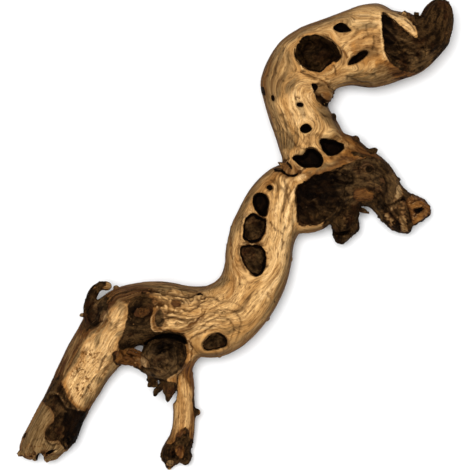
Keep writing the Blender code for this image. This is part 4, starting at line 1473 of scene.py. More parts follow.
@dataclass
class LongLeg(Limb):
    """The leg from the elbow down to the long foot, half bark and half worm-eaten wood."""

    hollows: tuple[Hollow, ...] = marks(Hollow, """
        38.4,453 41,452 44,455.5 45.6,463 48,474 31,474 35.6,463 37,457 level=0 lean=0 rough=0.5 high=22;
        43,455 48,451 54,449.4 57,451 52,454 46,457 deep=7 lean=0.2 rough=0.5;
        88,305 92.5,301.4 97.4,303.5 99.4,310 97.4,318 92.6,324 88,322.5 85.6,315 deep=3.2 bowl=2.5 moat=1.5 folds=0.5
            eye=93,312 rough=0.5 dark=0.6 dusty=0.3
    """)
    pits: tuple[Pit, ...] = marks(Pit, """
        66,372,24 5,9,6;
        94,405,17 6,10,6;
        30,438,22 5,5,5
    """)
    growths: tuple[Growth, ...] = marks(Growth, """
        82.6,315,33 2.6,1.8,2.2;
        21,454,22 4,4,5 0 1.2;
        52,455,18 6,4,8 10 1.2
    """)
    frays: tuple[Fray, ...] = marks(Fray, """
        36,460,17 24 2.6 4.5;
        64,449,20 11 1.8 3
    """)
    cracks: tuple[Crack, ...] = marks(Crack, """
        43.4,400 46.6,395.4 51,393 55,393.6 59.4,397 62,402 65,406.6 70,409.6 79,410.4 0.8 -0.8 0.75 DUST;
        44.4,402 47.6,397.6 52,395.4 56,397 59.4,402 62.6,407.4 68,411.6 1.2 1.4 1;
        62,440 63,446 64,452 0.7 1.6;
        66.5,438 67.5,444 67,451 0.7 1.6;
        44,438 47,444 52,447 58,445 1 1.4 0.9;
        88,390 92,383 97,375 0.9 1.2 0.9;
        80,402 85,393 90,386 0.9 1 0.8;
        99,372 102,364 105,355 0.9 1 0.9;
        104,306 108,313 107,322 0.8 0.7 0.6;
        95,327 99,322 104,321 1 1 0.7
    """)
    patches: tuple[Patch, ...] = marks(Patch, """
        GREY 1 80,300 118,296 128,330 114,362 96,404 84,432 66,460 6,470 10,440 40,392 58,350 74,316 3 1;
        RUST 0.6 82,316 92,326 88,338 80,350 74,366 62,380 60,392 48,394 38,404 50,368 66,334 4 2 streaky=0.8;
        BARK 0.55 80,318 86,326 82,338 74,352 66,368 56,384 50,392 40,400 52,366 66,334 6 3 streaky=0.6;
        BARK 0.85 44,396 50,382 58,376 64,386 70,398 78,410 70,410 60,398 50,393 4 2 streaky=0.3;
        BARK 0.75 84,300 98,296 108,296 104,308 100,322 94,329 84,330 80,320 3.5 2 streaky=0.5;
        DUST 0.95 90,300 106,298 108,316 98,324 92,318 3.5 2 streaky=0.5;
        DUST 0.25 52,398 62,400 72,410 68,420 56,412 3.5 2 streaky=0.5;
        BARK 1 44,391 53.6,392.5 60.7,397.9 64.3,404.1 70.5,409.5 76.8,412.1 88,406 88,420 76,446 69.6,450 65.2,453
            61.6,448.8 57.1,439.8 50,441.6 44.6,439.8 42.9,434.5 46.4,427.3 52.7,422.9 53.6,415.7 50,409.5 46,406.8
            38,402 2.6 1.3 lift=-0.5;
        HOLLOW 0.9 68,406 74,412 86,412 82,436 72,450 64,446 60,436 64,420 4 3
    """)
    worm_face: Outline = path("""
        118,302 123.5,303.6 127.6,305.9 126.8,317.4 124.6,332.7 118.4,344.2 116.2,355.6 110,367 101.5,383.6 93.4,401.4
        85.7,413 79,411 74,408 69.6,404 66.1,394.3 63.6,388 61,381.8 66.1,372.9 71.4,367.5 78,359.5 80.2,350.3
        82,341.1 90,338 92,333.5 104,330.6 108,320 106,314""")
    olive_face: Outline = path("""
        44,408 50,410.5 53,415.7 52,422 46,427 42.4,434.5 44,440.6 52,444 60,446 62,454 48,464 10,466 12,446 24,428
        34,412""")
    pit_outline: Outline = path("81,352 92,348 106,356 102,372 93,390 84,404 76,398 66,392 64,382 72,368")
    foot_tip: Spot = (20, 458)

    def work_surface(self, skin: Skin) -> None:
        """Bare the worm-eaten face and the olive foot, and cut the galleries."""
        self.bare_face(skin)
        self.bare_foot(skin)
        self.cut_galleries(skin)

    @staticmethod
    def bare(skin: Skin, outline: Outline, ledge: float, rough: float) -> tuple[Array, Array, Array, Array]:
        """Strip an outline of its bark.

        Args:
            skin: What is stripped.
            outline: Where.
            ledge: Height of the bared wood over the bark.
            rough: How far the edge wanders, in millimetres.

        Returns:
            Numbers of the points in or near the outline, their distances from it, their places and how bare they are.
        """
        index, away, points = skin.under(outline, 5.0)
        wander = rough * (WARP.layered(points, 5.0) + 0.5 * FINE.layered(points, 2.2, 2))
        share = smooth(-away - wander, -1.3, 1.3) * skin.upward[index]
        for mask in (BARK, GREY, RUST):
            skin.wipe(mask, index, share)
        skin.lift[index] += ledge * share
        return index, away, points, share

    def bare_face(self, skin: Skin) -> None:
        """Bare the worm-eaten face, break it into flakes, and darken its edge with amber and with painted shade in the
        grain's furrows.
        """
        index, away, points, share = self.bare(skin, self.worm_face, -0.9, 1.3)
        lower = smooth(-points[:, 1], 84.0, 104.0)
        flake_off(skin, index, share * smooth(FINE.at(points, 11.0), -0.2, 0.4) * (0.15 + 0.5 * lower), 5.0, 0.5)
        skin.paint(BLEACH, index, share * 0.45)
        skin.paint(GREY, index, share * smooth(COARSE.at(points, 9.0) + 0.4 * skin.streak[index], 0.1, 0.8) * 0.7)
        edge = smooth(away + 5.0, 0.0, 4.0)
        skin.paint(AMBER, index, share * edge * 0.6)
        # painted shade in the grain's furrows near the edge
        skin.paint(CREASE, index, share * edge * smooth(-skin.streak[index], 0.25, 0.6) * 0.5)

    def bare_foot(self, skin: Skin) -> None:
        """Bare the olive foot and crumble its torn end."""
        index, _, points, share = self.bare(skin, self.olive_face, -0.2, 1.6)
        skin.paint(GREY, index, share * (0.85 + 0.15 * skin.streak[index]))
        skin.paint(AMBER, index, share * smooth(COARSE.at(points, 9.0), 0.0, 0.6) * 0.6)
        x, y = to_mm(self.foot_tip)[0]
        skin.paint(RUST, index, smooth(-np.hypot(points[:, 0] - x, points[:, 1] - y), -13.0, -4.0) * 0.25)
        torn = share * smooth(-points[:, 1] + 3.0 * WARP.at(points, 6.0), 163.0, 172.0)
        crumb = COARSE.layered(points, 3.2, 2)
        skin.lift[index] += 0.7 * crumb * torn
        skin.paint(AMBER, index, torn * smooth(crumb, 0.0, 0.3) * 0.8)
        skin.paint(RUST, index, torn * smooth(-crumb, 0.0, 0.3) * 0.6)
        # painted shade in the hollows between the crumbs
        skin.paint(CREASE, index, torn * smooth(-crumb, 0.28, 0.42))

    def cut_galleries(self, skin: Skin) -> None:
        """Cut the worms' galleries and holes into the face."""
        index, away, points = skin.under(self.pit_outline, 5.0)
        share = smooth(-away + 2.5 * COARSE.at(points, 6.0), -1.0, 2.0) * skin.upward[index]
        bent = points + 1.6 * np.stack([WARP.at(points + shift, 3.0) for shift in (0.0, 40.0, 80.0)], axis=1)
        gallery = np.abs(COARSE.at(bent, 2.6))
        holes = COARSE.at(bent + 50.0, 1.7)
        eaten = np.maximum(0.7 - 0.7 * smooth(gallery, 0.02, 0.15), smooth(holes, 0.3, 0.6))
        eaten *= smooth(FINE.at(points, 7.0), -0.5, 0.1)
        skin.lift[index] -= 0.9 * eaten * share
        # painted shade in the galleries
        skin.paint(CREASE, index, eaten * share * 0.4)
        skin.paint(AMBER, index, eaten * share * 0.8)
        skin.paint(AMBER, index, share * smooth(FINE.at(points, 5.0), 0.1, 0.5) * 0.5)


@dataclass
class FrontLeg(Limb):
    """The thin leg that runs down to a dark foot, with its peg."""

    hollows: tuple[Hollow, ...] = marks(Hollow, """
        172.2,451.4 173.6,450.4 174.6,454 174,459 172.4,459.6 deep=3.2 lean=0 high=20;
        167.4,445.6 171,446.6 175,441.6 175.6,443.4 172,448.6 167.6,447.6 deep=1.8 lean=0 high=20
    """)
    growths: tuple[Growth, ...] = marks(Growth, """
        169.4,465.8,9 3.4,3.2,5 0 0.4;
        184.6,456.4,12 5.4,6.4,8.5 0 0.5;
        179.6,455,17 4.6,6,3.6 -12 0.4;
        197.2,411.8,17.6 2.3,2.5,2.2 0 0.3
    """)
    frays: tuple[Fray, ...] = marks(Fray, """
        172,459,10 13 1.3 3.4
    """)
    cracks: tuple[Crack, ...] = marks(Crack, """
        185,430 187,438 189.6,446 0.9 -0.7 0.9 BLEACH;
        174,446 178,440 182,434 185,430.6 0.9 -0.6 0.7 AMBER;
        172.6,450 173.6,456 173,461 0.9 0.8 0.8;
        175,452 179,449 183,453 184,459 181,464 0.9 0.8 0.8
    """)
    patches: tuple[Patch, ...] = marks(Patch, """
        AMBER 0.5 172,362 198,362 198,450 160,450 166,420 168,390 3 1 streaky=0.8;
        RUST 0.85 176,366 192,360 198,372 196,392 189,386 180,376 4 2 streaky=0.4;
        RUST 0.85 188.5,376 200,374 200,446 189,446 187.5,430 189.6,404 2.8 1.2 streaky=0.5;
        RUST 0.6 166,420 172,424 174,436 176,444 166,446 162,436 3 1.6 streaky=0.8;
        BARK 0.85 192,395 198,394 198,420 192.6,420 2 1;
        BARK 1 160,445.6 167,447 172.6,447 176,440 178.6,434 184.1,428.9 187.7,432.7 189.5,441.6 196,446 192,468 170,474
            154,464 2.2 1 lift=-0.3;
        BARK -0.6 177.4,438 180,433 184,430.6 186.6,434 184,438 180,441 2.5 2;
        RUST 0.8 176.4,438 179,432 184,430.6 187.6,436 184,442 178,442 2 1.5;
        BARK -0.8 175,451 178,447 182,447.6 184.6,452 184,458 180,461.6 176.4,458 3 1.2;
        RUST 0.9 174.6,451 178,446.6 182.6,447 185.4,452 184.6,459 180,462 175.6,459 1.6 1;
        BARK -0.9 165,463.4 173.4,463.6 172,471 166,470 1.5 0.8;
        GREY 0.7 165,463.4 173.4,463.6 172,471 166,470 1.5 0.8
    """)


@dataclass
class SideLimb(Limb):
    """The dark limb that leaves the fork to the right, with its knob and its torn tip."""

    hollows: tuple[Hollow, ...] = marks(Hollow, """
        416,208.6 421,207 427.4,206.4 428,208.6 423,211.4 418,212.6 415,211 deep=4 lean=0.1 rough=0.3;
        365,167.6 368.4,165 372.4,166.8 373,171 369.6,173.6 366,172 deep=6 lean=0.1 rough=0.3 lip=0.4;
        434.4,213 431,214.4 425.6,218.8 420,222.4 414.8,225.2 411.8,226.4 410.6,231.6 407.6,235.8 414,246 440,240
            446,216 level=-20 lean=0 rough=0.25 high=26;
        334,230 340,231.6 346,231 352,228.6 353,231.4 346,235.4 338,235.6 333.6,233.4 deep=8 lean=0 rough=0.3;
        343,186.4 352,184.6 362,184.4 372,186 372,187.6 361,186.6 351,187 343.6,188.6 deep=3 lean=0 rough=0.2
    """)
    pits: tuple[Pit, ...] = marks(Pit, """
        398,186,14 5,5,4;
        372,206,14 7,6,5
    """)
    growths: tuple[Growth, ...] = marks(Growth, """
        362,210.4,21 5.4,1.8,2.6 -25 0.8 1;
        397.6,179.6,24 2.2,1.8,2.2;
        353,226,20 5,7,8 0 0.8;
        341.6,216,31.5 4.2,3.4,2.6 20 0.6;
        349,222,30.5 3.6,3.4,2.4 20 0.8
    """)
    frays: tuple[Fray, ...] = marks(Fray, """
        424,212,15 14 1.8 3.6;
        345,238,20 9 1.8 3;
        403,224,16 11 1.2 3
    """)
    cracks: tuple[Crack, ...] = marks(Crack, """
        384,208 392,204.6 400,200 407,196.6 1.2 1.8 1;
        407.6,197.4 410.6,206 412,216 414,224 1.2 1.8 1;
        392.4,178 390,186 388,196 386,204 1.1 -0.9 0.3 AMBER;
        342,176 352,178 362,178.6 370,182 0.9 1 0.8;
        340,180 350,182 360,182 0.9 -0.7 0.5 GREY;
        376,166 384,172 388,182 388,194 1.2 1 0.9;
        363,172 363.4,167 367.6,164.4 372.4,166.4 373.6,171 370,174.6 0.8 0.8 0.8;
        359,173 360,165 366,161.4 373,162.6 377.6,168 377,175 0.8 0.6 0.6;
        412,203 417,200 423,199 0.9 1 0.8;
        414,216 420,212 426,205.6 0.8 1 0.8;
        330,182 338,180 346,184 354,183 1.3 1.8 1;
        352,172 354,178 352,184 1.2 1.4 1;
        379,190 384,196 386,204 384,212 1.2 1.4 1;
        390,212 394,218 400,224 403,231 1.2 1.4 1;
        394,208 399,214 404,220 409,228 1 1.2 0.9;
        300,212 308,203 320,198 332,193 345,190 1.6 -0.9 0
    """)
    patches: tuple[Patch, ...] = marks(Patch, """
        BARK 1 330,171 342,167 355.5,161.4 370.8,157.1 381,160.2 392,168.4 402,178 440,192 444,230 408,244 380,222
            364,212 362,250 326,250 322,222 334,214 330,190 3 1.4;
        BARK -0.8 353,190 362,188 374,190 375,198 367,202 358,201 352,197 7 3 streaky=0.3;
        AMBER 0.95 350,188 362,185 378,188 378,200 368,206 356,204 350,198 6 2;
        HOLLOW 0.6 340,212 352,212 358,224 350,240 334,242 332,232 342,228 4 5 streaky=0.5 scale=5;
        DUST 0.5 332,172 356,162 372,158 392,170 404,182 398,206 384,218 370,206 352,204 338,196 5 9 scale=7;
        HOLLOW 0.4 338,176 352,172 366,176 374,184 360,187 348,190 340,186 4 6 streaky=0.5 scale=5;
        HOLLOW 0.7 378,186 388,182 392,198 386,210 376,206 378,196 4 6 streaky=0.5 scale=5;
        BARK -0.85 401,215 405.6,217 408.4,224 405,229 401,224 2 1.6;
        BARK -0.55 360,163 370,160 376,165 374,172 367,175 360,171 5 3;
        RUST 0.6 350,187 364,186 380,190 382,206 368,208 354,202 6 2 streaky=0.25;
        BARK -0.12 300,216 306,205 318,198 334,190 346,190 342,197 326,202 312,212 304,221 5 2.5;
        RUST 0.8 296,218 306,202 318,196 334,188 350,188 344,199 326,205 312,216 304,224 5 2.5;
        GREY 0.8 358,162 370,159 378,164 376,174 368,178 358,174 354,168 2.5 2;
        GREY 0.7 342,166 356,161.4 372,157.6 384,162 370,162 354,167 2 1.2 streaky=0.5;
        BARK -0.5 374,172 386,176 391,190 384,200 374,196 378,182 5 3 streaky=0.5;
        RUST 0.9 374,168 388,172 394,192 384,204 372,198 376,182 4 2 streaky=0.3;
        DUST -0.95 350,187 364,186 380,190 382,206 368,208 354,202 3 2;
        GREY -0.95 350,187 364,186 380,190 382,206 368,208 354,202 3 2
    """)
    stripe: Outline = path("397.4,184 401.6,184.4 404,190 404.4,195 399,199.6 393.6,203 394,198 397,192")
    tip_face: Outline = path("""
        408,197 416,195 424,195.6 432.4,206 436,211.4 429,218 417,228 413.7,222.4 411.6,212.2 406.5,202""")
    knob_face: Outline = path("""
        383,210.2 387,206.4 396.3,202.2 403.5,198.4 407.6,203 411.6,212.2 413.4,222.4 411.6,232 406.5,237 397.3,231.6
        387.1,224.5""")

    def work_surface(self, skin: Skin) -> None:
        """Bare the pale stripe and the orange tip, and mottle the knobs."""
        for outline, mask, amount in ((self.stripe, GREY, 0.8), (self.tip_face, AMBER, 0.95)):
            index, away, points = skin.under(outline, 4.0)
            share = smooth(-away + 0.9 * WARP.layered(points, 3.5) + 0.6 * FINE.at(points, 1.7), -1.4, 1.4)
            share *= skin.upward[index]
            rough = COARSE.layered(points, 4.0)
            skin.wipe(BARK, index, share * (0.95 - 0.3 * smooth(rough, 0.1, 0.6)))
            skin.paint(mask, index, share * amount)
            if mask is AMBER:
                skin.paint(RUST, index, share * (0.3 + 0.65 * smooth(FINE.layered(points, 3.6), -0.3, 0.4)))
            skin.lift[index] += share * (0.6 * rough - 0.4)
        index, away, points = skin.under(self.knob_face, 3.0)
        share = smooth(-away, -1.5, 2.0) * skin.upward[index]
        mottle = COARSE.layered(points, 5.0) + 0.5 * FINE.at(points, 1.6)
        skin.wipe(BARK, index, share * smooth(mottle, -0.5, 0.6) * 0.85)
        skin.paint(GREY, index, share * 0.6)
        skin.lift[index] += share * 0.5 * mottle
        fold_rings(skin, (348, 221), "330,207 340,205 352,206 360,212 358,226 350,240 338,246 334,236",
                   4.4, 0.9, 0.1)


@dataclass
class Underparts(Limb):
    """The burl under the low bend, with the root strand, pegs and flakes round it."""

    hollows: tuple[Hollow, ...] = marks(Hollow, """
        155.2,353 157.6,348 163,345 169,343 174.6,343.4 174.4,347.4 169,349.6 163,351.6 158,354.6 deep=6 lean=0.05
            rough=0.5;
        157.8,378.8 160.2,379 160,384 157,387.6 154,389.6 152.4,392.4 147,397 142,392 146,387.4 156.6,386.6 158,384
            level=-20 lean=0 rough=0.25 high=30;
        156,397 160,394.4 163.6,392 165,397 167,403.4 160,406 level=-20 lean=0 rough=0.25 high=30;
        177.4,388 174.8,393.4 172,396.4 169.6,400 167.6,404 174.5,404 177,396 level=-20 lean=0 rough=0.25 high=30
    """)
    frays: tuple[Fray, ...] = marks(Fray, """
        153,385,28 8 1.2 2.6;
        159,394,31 9 1.4 2.8;
        170,399,35 9 1.4 2.8;
        128,360,28 14 1.3 3.2
    """)
    growths: tuple[Growth, ...] = marks(Growth, """
        125,357,30 8,4.2,4.4 -12 1.2;
        134,360,31 7,3.8,4.4 -24 1.2;
        144,367,31 6,4.2,4.4 -50 1.2
    """)
    cracks: tuple[Crack, ...] = marks(Crack, """
        142,356 145,359.6 149,362 150,367 1.3 1.8 1;
        138,368 145,369 152,369.6 157.6,373 1.4 2 1;
        120,351 123.4,356 126,362 1.2 1.4 1;
        131.6,353 131,358 134.4,363 1.2 1.4 1;
        176,350 179,356 177,364 171,370 1 1 0.8
    """)
    patches: tuple[Patch, ...] = marks(Patch, """
        BARK 1 140,346 150,340 166,336 180,338 187,346 187,357 183,364 176,371 168,376 158,378 146,378 134,372 114,366
            112,350 126,352 2 1;
        BARK 0.95 150,384 160,383 168,383.4 176,384.6 177.4,388.4 174,394.4 167.6,404 156,400 148,393 1.5 0.8;
        DUST 0.95 142,350 158,343 176,348 182,362 168,380 150,378 138,364 5 3 scale=4;
        RUST 0.9 144,350 158,344 174,350 178,362 166,378 150,376 140,364 4 2;
        BARK -0.36 146,356 160,352 172,358 172,370 160,378 146,373 8 5;
        HOLLOW 0.75 150,350 160,343 172,342 176,348 166,354 156,358 4 3;
        BARK -1 182,333 186.6,340 188.6,354 184.6,362 178,370 172,375.4 167,379 169,382 177,384 180,392 190,392 200,360
            196,336 1.6 0.8;
        AMBER 0.6 168,378 178,371 186,364 192,366 190,380 180,390 177,384 2.5 1 streaky=0.5;
        BARK -0.8 114,350 128,350 142,354 148,364 142,370 130,366 116,364 3 2.5;
        AMBER 0.9 112,350 128,350 144,356 152,366 150,376 136,372 116,366 2.5 1.2;
        RUST 0.7 112,350 128,350 144,356 152,366 150,376 136,372 116,366 2.5 1.2;
        RUST 0.35 152,352 168,350 176,358 170,370 156,372 148,364 4 2;
        GREY 0.5 150,378 158,378 157,390 149,389 2 1
    """)

    spur_outline: Outline = path("84,290 104,278 114,284 110,292 100,292 94,304 84,304")
    strand_outline: Outline = path("114,350 136,350 148,358 150,372 134,372 114,366")

    def work_surface(self, skin: Skin) -> None:
        """Fold the burl in rings round its slit, pale the spur's tip and crumple the strand."""
        fold_rings(skin, (158, 362), "143,348 156,340 172,337 184,342 188,354 180,368 166,378 148,374 140,360",
                   6.2, 0.7, 0.35)
        index, away, points = skin.under(self.spur_outline, 3.0)
        mottle = smooth(COARSE.layered(points, 3.6) + 1.4 * smooth(points[:, 0], -106.0, -100.0), 0.35, 0.9)
        skin.wipe(BARK, index, smooth(-away, -1, 1) * mottle * 0.85)
        skin.paint(GREY, index, smooth(-away, -1, 1) * 0.6)
        index, away, points = skin.under(self.strand_outline, 3.0)
        crumple = COARSE.at(points, 3.6) + 0.6 * FINE.at(points, 2.0)
        skin.lift[index] += smooth(-away, -1, 1) * 0.7 * crumple


@dataclass(frozen=True)
class Weather:
    """What age has done to the whole surface: raised grain, checks and rough bark; and painted shade, grey and
    rust-brown, on the flanks that turn away from the top.
    """

    ridge: float = 0.34
    wave: float = 0.5
    flute: float = 0.8
    valley: float = 0.55
    check: float = 0.55
    bark: float = 0.9
    halo: float = 0.9
    halo_rounds: int = 70

    def wear(self, skin: Skin) -> None:
        """Raise the relief on the skin, and paint shade in grey and rust-brown on its flanks."""
        everywhere = slice(None)
        dark = np.maximum(skin.masks[BARK], skin.masks[HOLLOW])
        bare = 1 - dark
        skin.lift += bare * (self.ridge * skin.streak + self.wave * COARSE.at(skin.grain + 5.0, 4.6))
        skin.lift += self.flute * COARSE.at(skin.grain + 77.0, 9.0)
        skin.paint(GREY, everywhere, bare * smooth(-skin.streak, 0.2, 0.8) * self.valley
                   * smooth(WARP.at(skin.points, 24.0), -0.4, 0.5))
        check = np.zeros(len(skin.points))
        for size, thin, low in ((3.2, 0.055, 0.0), (1.9, 0.05, -0.15)):
            seam = np.abs(COARSE.at(skin.grain + 31.0 * size, size))
            gate = smooth(WARP.at(skin.points + 9.0 * size, 13.0), low, low + 0.35)
            check = np.maximum(check, (1 - smooth(seam, 0.0, thin)) * gate)
        check = np.minimum(evened(check[:, None], skin.edges, 2)[:, 0] * 1.4, 1) * bare
        skin.lift -= self.check * check
        # painted shade in the checks
        skin.paint(CREASE, everywhere, check * 0.8)
        skin.lift += dark * self.bark * (COARSE.layered(skin.points, 7.5) + 0.25 * FINE.at(skin.points, 2.4))
        rise = skin.normals[:, 2]
        # painted shade: the flanks that turn away from the top are greyed and browned, the more the steeper they fall
        shade = 1 - smooth(skin.smooth_rise() + 0.14 * WARP.at(skin.points, 12.0), 0.2, 0.97)
        skin.paint(GREY, everywhere, 0.95 * shade * (0.85 + 0.15 * skin.streak))
        skin.paint(RUST, everywhere, 0.5 * smooth(shade + 0.2 * skin.streak, 0.5, 1.0))
        cover = WARP.layered(skin.points + 60.0, 34.0)
        cover = smooth(cover + 0.12 * skin.streak, 0.12, 0.3) * (1 - smooth(rise, -0.1, 0.3))
        skin.paint(BARK, everywhere, cover * 0.95 * skin.outside)
        skin.lift -= 0.3 * cover * bare
        halo = dark[:, None]
        for _ in range(self.halo_rounds):
            halo = neighbour_mean(halo, skin.edges)
        halo = smooth(halo[:, 0], 0.02, 0.5) * bare * smooth(COARSE.at(skin.points, 21.0), -0.7, 0.4)
        skin.paint(AMBER, everywhere, halo * self.halo)
        skin.paint(RUST, everywhere, halo * halo * self.halo * 0.6)


Colour = tuple[float, float, float, float]


def tone(red: float, green: float, blue: float) -> Colour:
    """Give an opaque colour."""
    return red, green, blue, 1.0


class Wire:
    """A value that runs out of a node, ready for sums."""

    def __init__(self, sheet: "Sheet", output: bpy.types.NodeSocket) -> None:
        """Note the sheet that the value is on."""
        self.sheet = sheet
        self.output = output

    def combine(self, operation: str, other: "Wire | float") -> "Wire":
        """Combine the value with another."""
        return self.sheet.sum(operation, self, other)

    __add__ = __radd__ = partialmethod(combine, "ADD")
    __sub__ = partialmethod(combine, "SUBTRACT")
    __mul__ = __rmul__ = partialmethod(combine, "MULTIPLY")

    def __rsub__(self, other: float) -> "Wire":
        """Take the value away from a number."""
        return self.sheet.sum("SUBTRACT", other, self)

    def size(self) -> "Wire":
        """Drop the sign."""
        return self.sheet.node("ShaderNodeMath", {"operation": "ABSOLUTE"}, {0: self})

    def rise(self, low: float, high: float) -> "Wire":
        """Rise smoothly from 0 at low to 1 at high."""
        return self.sheet.node("ShaderNodeMapRange", {"interpolation_type": "SMOOTHSTEP"},
                               {"Value": self, "From Min": low, "From Max": high})

    def stretch(self, x: float, y: float, z: float) -> "Wire":
        """Multiply a vector's three numbers."""
        return self.sheet.node("ShaderNodeVectorMath", {"operation": "MULTIPLY"}, {0: self, 1: (x, y, z)})


class Sheet:
    """A sheet of nodes that is filled by code."""

    def __init__(self, tree: bpy.types.NodeTree) -> None:
        """Start on an empty sheet."""
        self.tree = tree
        tree.nodes.clear()

    @classmethod
    def on(cls, owner: bpy.types.Material | bpy.types.World) -> "Sheet":
        """Start on the nodes of a material or a world."""
        owner.use_nodes = True
        return cls(owner.node_tree)

    def node(self, kind: str, settings: dict[str, object], inputs: dict[str | int, object],
             output: str | int = 0) -> Wire | None:
        """Add a node.

        Args:
            kind: Type name of the node.
            settings: The node's own properties, set before its sockets.
            inputs: Values or wires for its sockets, by name, identifier or number.
            output: Which of its outputs is wanted.

        Returns:
            The wanted output, where the node has any.
        """
        node = self.tree.nodes.new(kind)
        for key, value in settings.items():
            setattr(node, key, value)
        for key, value in inputs.items():
            socket = self.find(node.inputs, key)
            if isinstance(value, Wire):
                self.tree.links.new(value.output, socket)
            else:
                socket.default_value = value
        return Wire(self, self.find(node.outputs, output)) if node.outputs else None

    @staticmethod
    def find(sockets: bpy.types.bpy_prop_collection, key: str | int) -> bpy.types.NodeSocket:
        """Pick a socket by its number, identifier or name."""
        if isinstance(key, int):
            return sockets[key]
        for socket in sockets:
            if socket.identifier == key:
                return socket
        return sockets[key]

    def sum(self, operation: str, first: Wire | float, second: Wire | float) -> Wire:
        """Combine two numbers."""
        return self.node("ShaderNodeMath", {"operation": operation}, {0: first, 1: second})

    def blend(self, share: Wire | float, low: object, high: object, kind: str = "MIX") -> Wire:
        """Mix two colours."""
        return self.node("ShaderNodeMix", {"data_type": "RGBA", "blend_type": kind},
                         {"Factor_Float": share, "A_Color": low, "B_Color": high}, "Result_Color")

    def coats(self, colour: Colour | Wire, *coats: tuple[Wire, Colour | Wire]) -> Wire:
        """Lay colours over a first one, each by its own share."""
        for share, coat in coats:
            colour = self.blend(share, colour, coat)
        return colour

    def noise(self, place: Wire, scale: float, detail: float = 3.0, rough: float = 0.55) -> Wire:
        """Give smooth random numbers round a half."""
        return self.node("ShaderNodeTexNoise", {},
                         {"Vector": place, "Scale": scale, "Detail": detail, "Roughness": rough})


@dataclass(frozen=True)
class Palette:
    """The colours that the whole root is made of, with the painted shade and painted highlight laid over them."""

    light: Colour = tone(0.66, 0.395, 0.155)
    mid: Colour = tone(0.40, 0.215, 0.074)
    honey: Colour = tone(0.36, 0.172, 0.046)
    streak: Colour = tone(0.19, 0.088, 0.028)
    vein: Colour = tone(0.05, 0.021, 0.007)
    amber: Colour = tone(0.150, 0.058, 0.012)
    amber_light: Colour = tone(0.36, 0.160, 0.040)
    rust: Colour = tone(0.050, 0.017, 0.0055)
    bleach: Colour = tone(0.76, 0.49, 0.225)
    grey: Colour = tone(0.072, 0.040, 0.0145)
    grey_light: Colour = tone(0.22, 0.130, 0.052)
    bark: Colour = tone(0.0070, 0.0030, 0.0008)
    bark_mid: Colour = tone(0.040, 0.0195, 0.0062)
    bark_light: Colour = tone(0.085, 0.046, 0.0185)
    # paler bark brought out by dust and by painted highlight on ridges
    bark_edge: Colour = tone(0.13, 0.072, 0.028)
    # hollow and hollow_light: dark heartwood deepened to near black as painted shade in the holes
    hollow: Colour = tone(0.0025, 0.0011, 0.0004)
    hollow_light: Colour = tone(0.0085, 0.0034, 0.0010)
    # multiplies the colour as painted shade in the valleys of the grain's bump
    shade: Colour = tone(0.42, 0.34, 0.28)
    # these two brighten the colour as painted highlight on the peaks of the grain's bump, strongest on bark and in
    # hollows
    painted_highlight: Colour = tone(1.45, 1.45, 1.40)
    bark_painted_highlight: Colour = tone(2.3, 2.2, 1.9)


PALETTE = Palette()


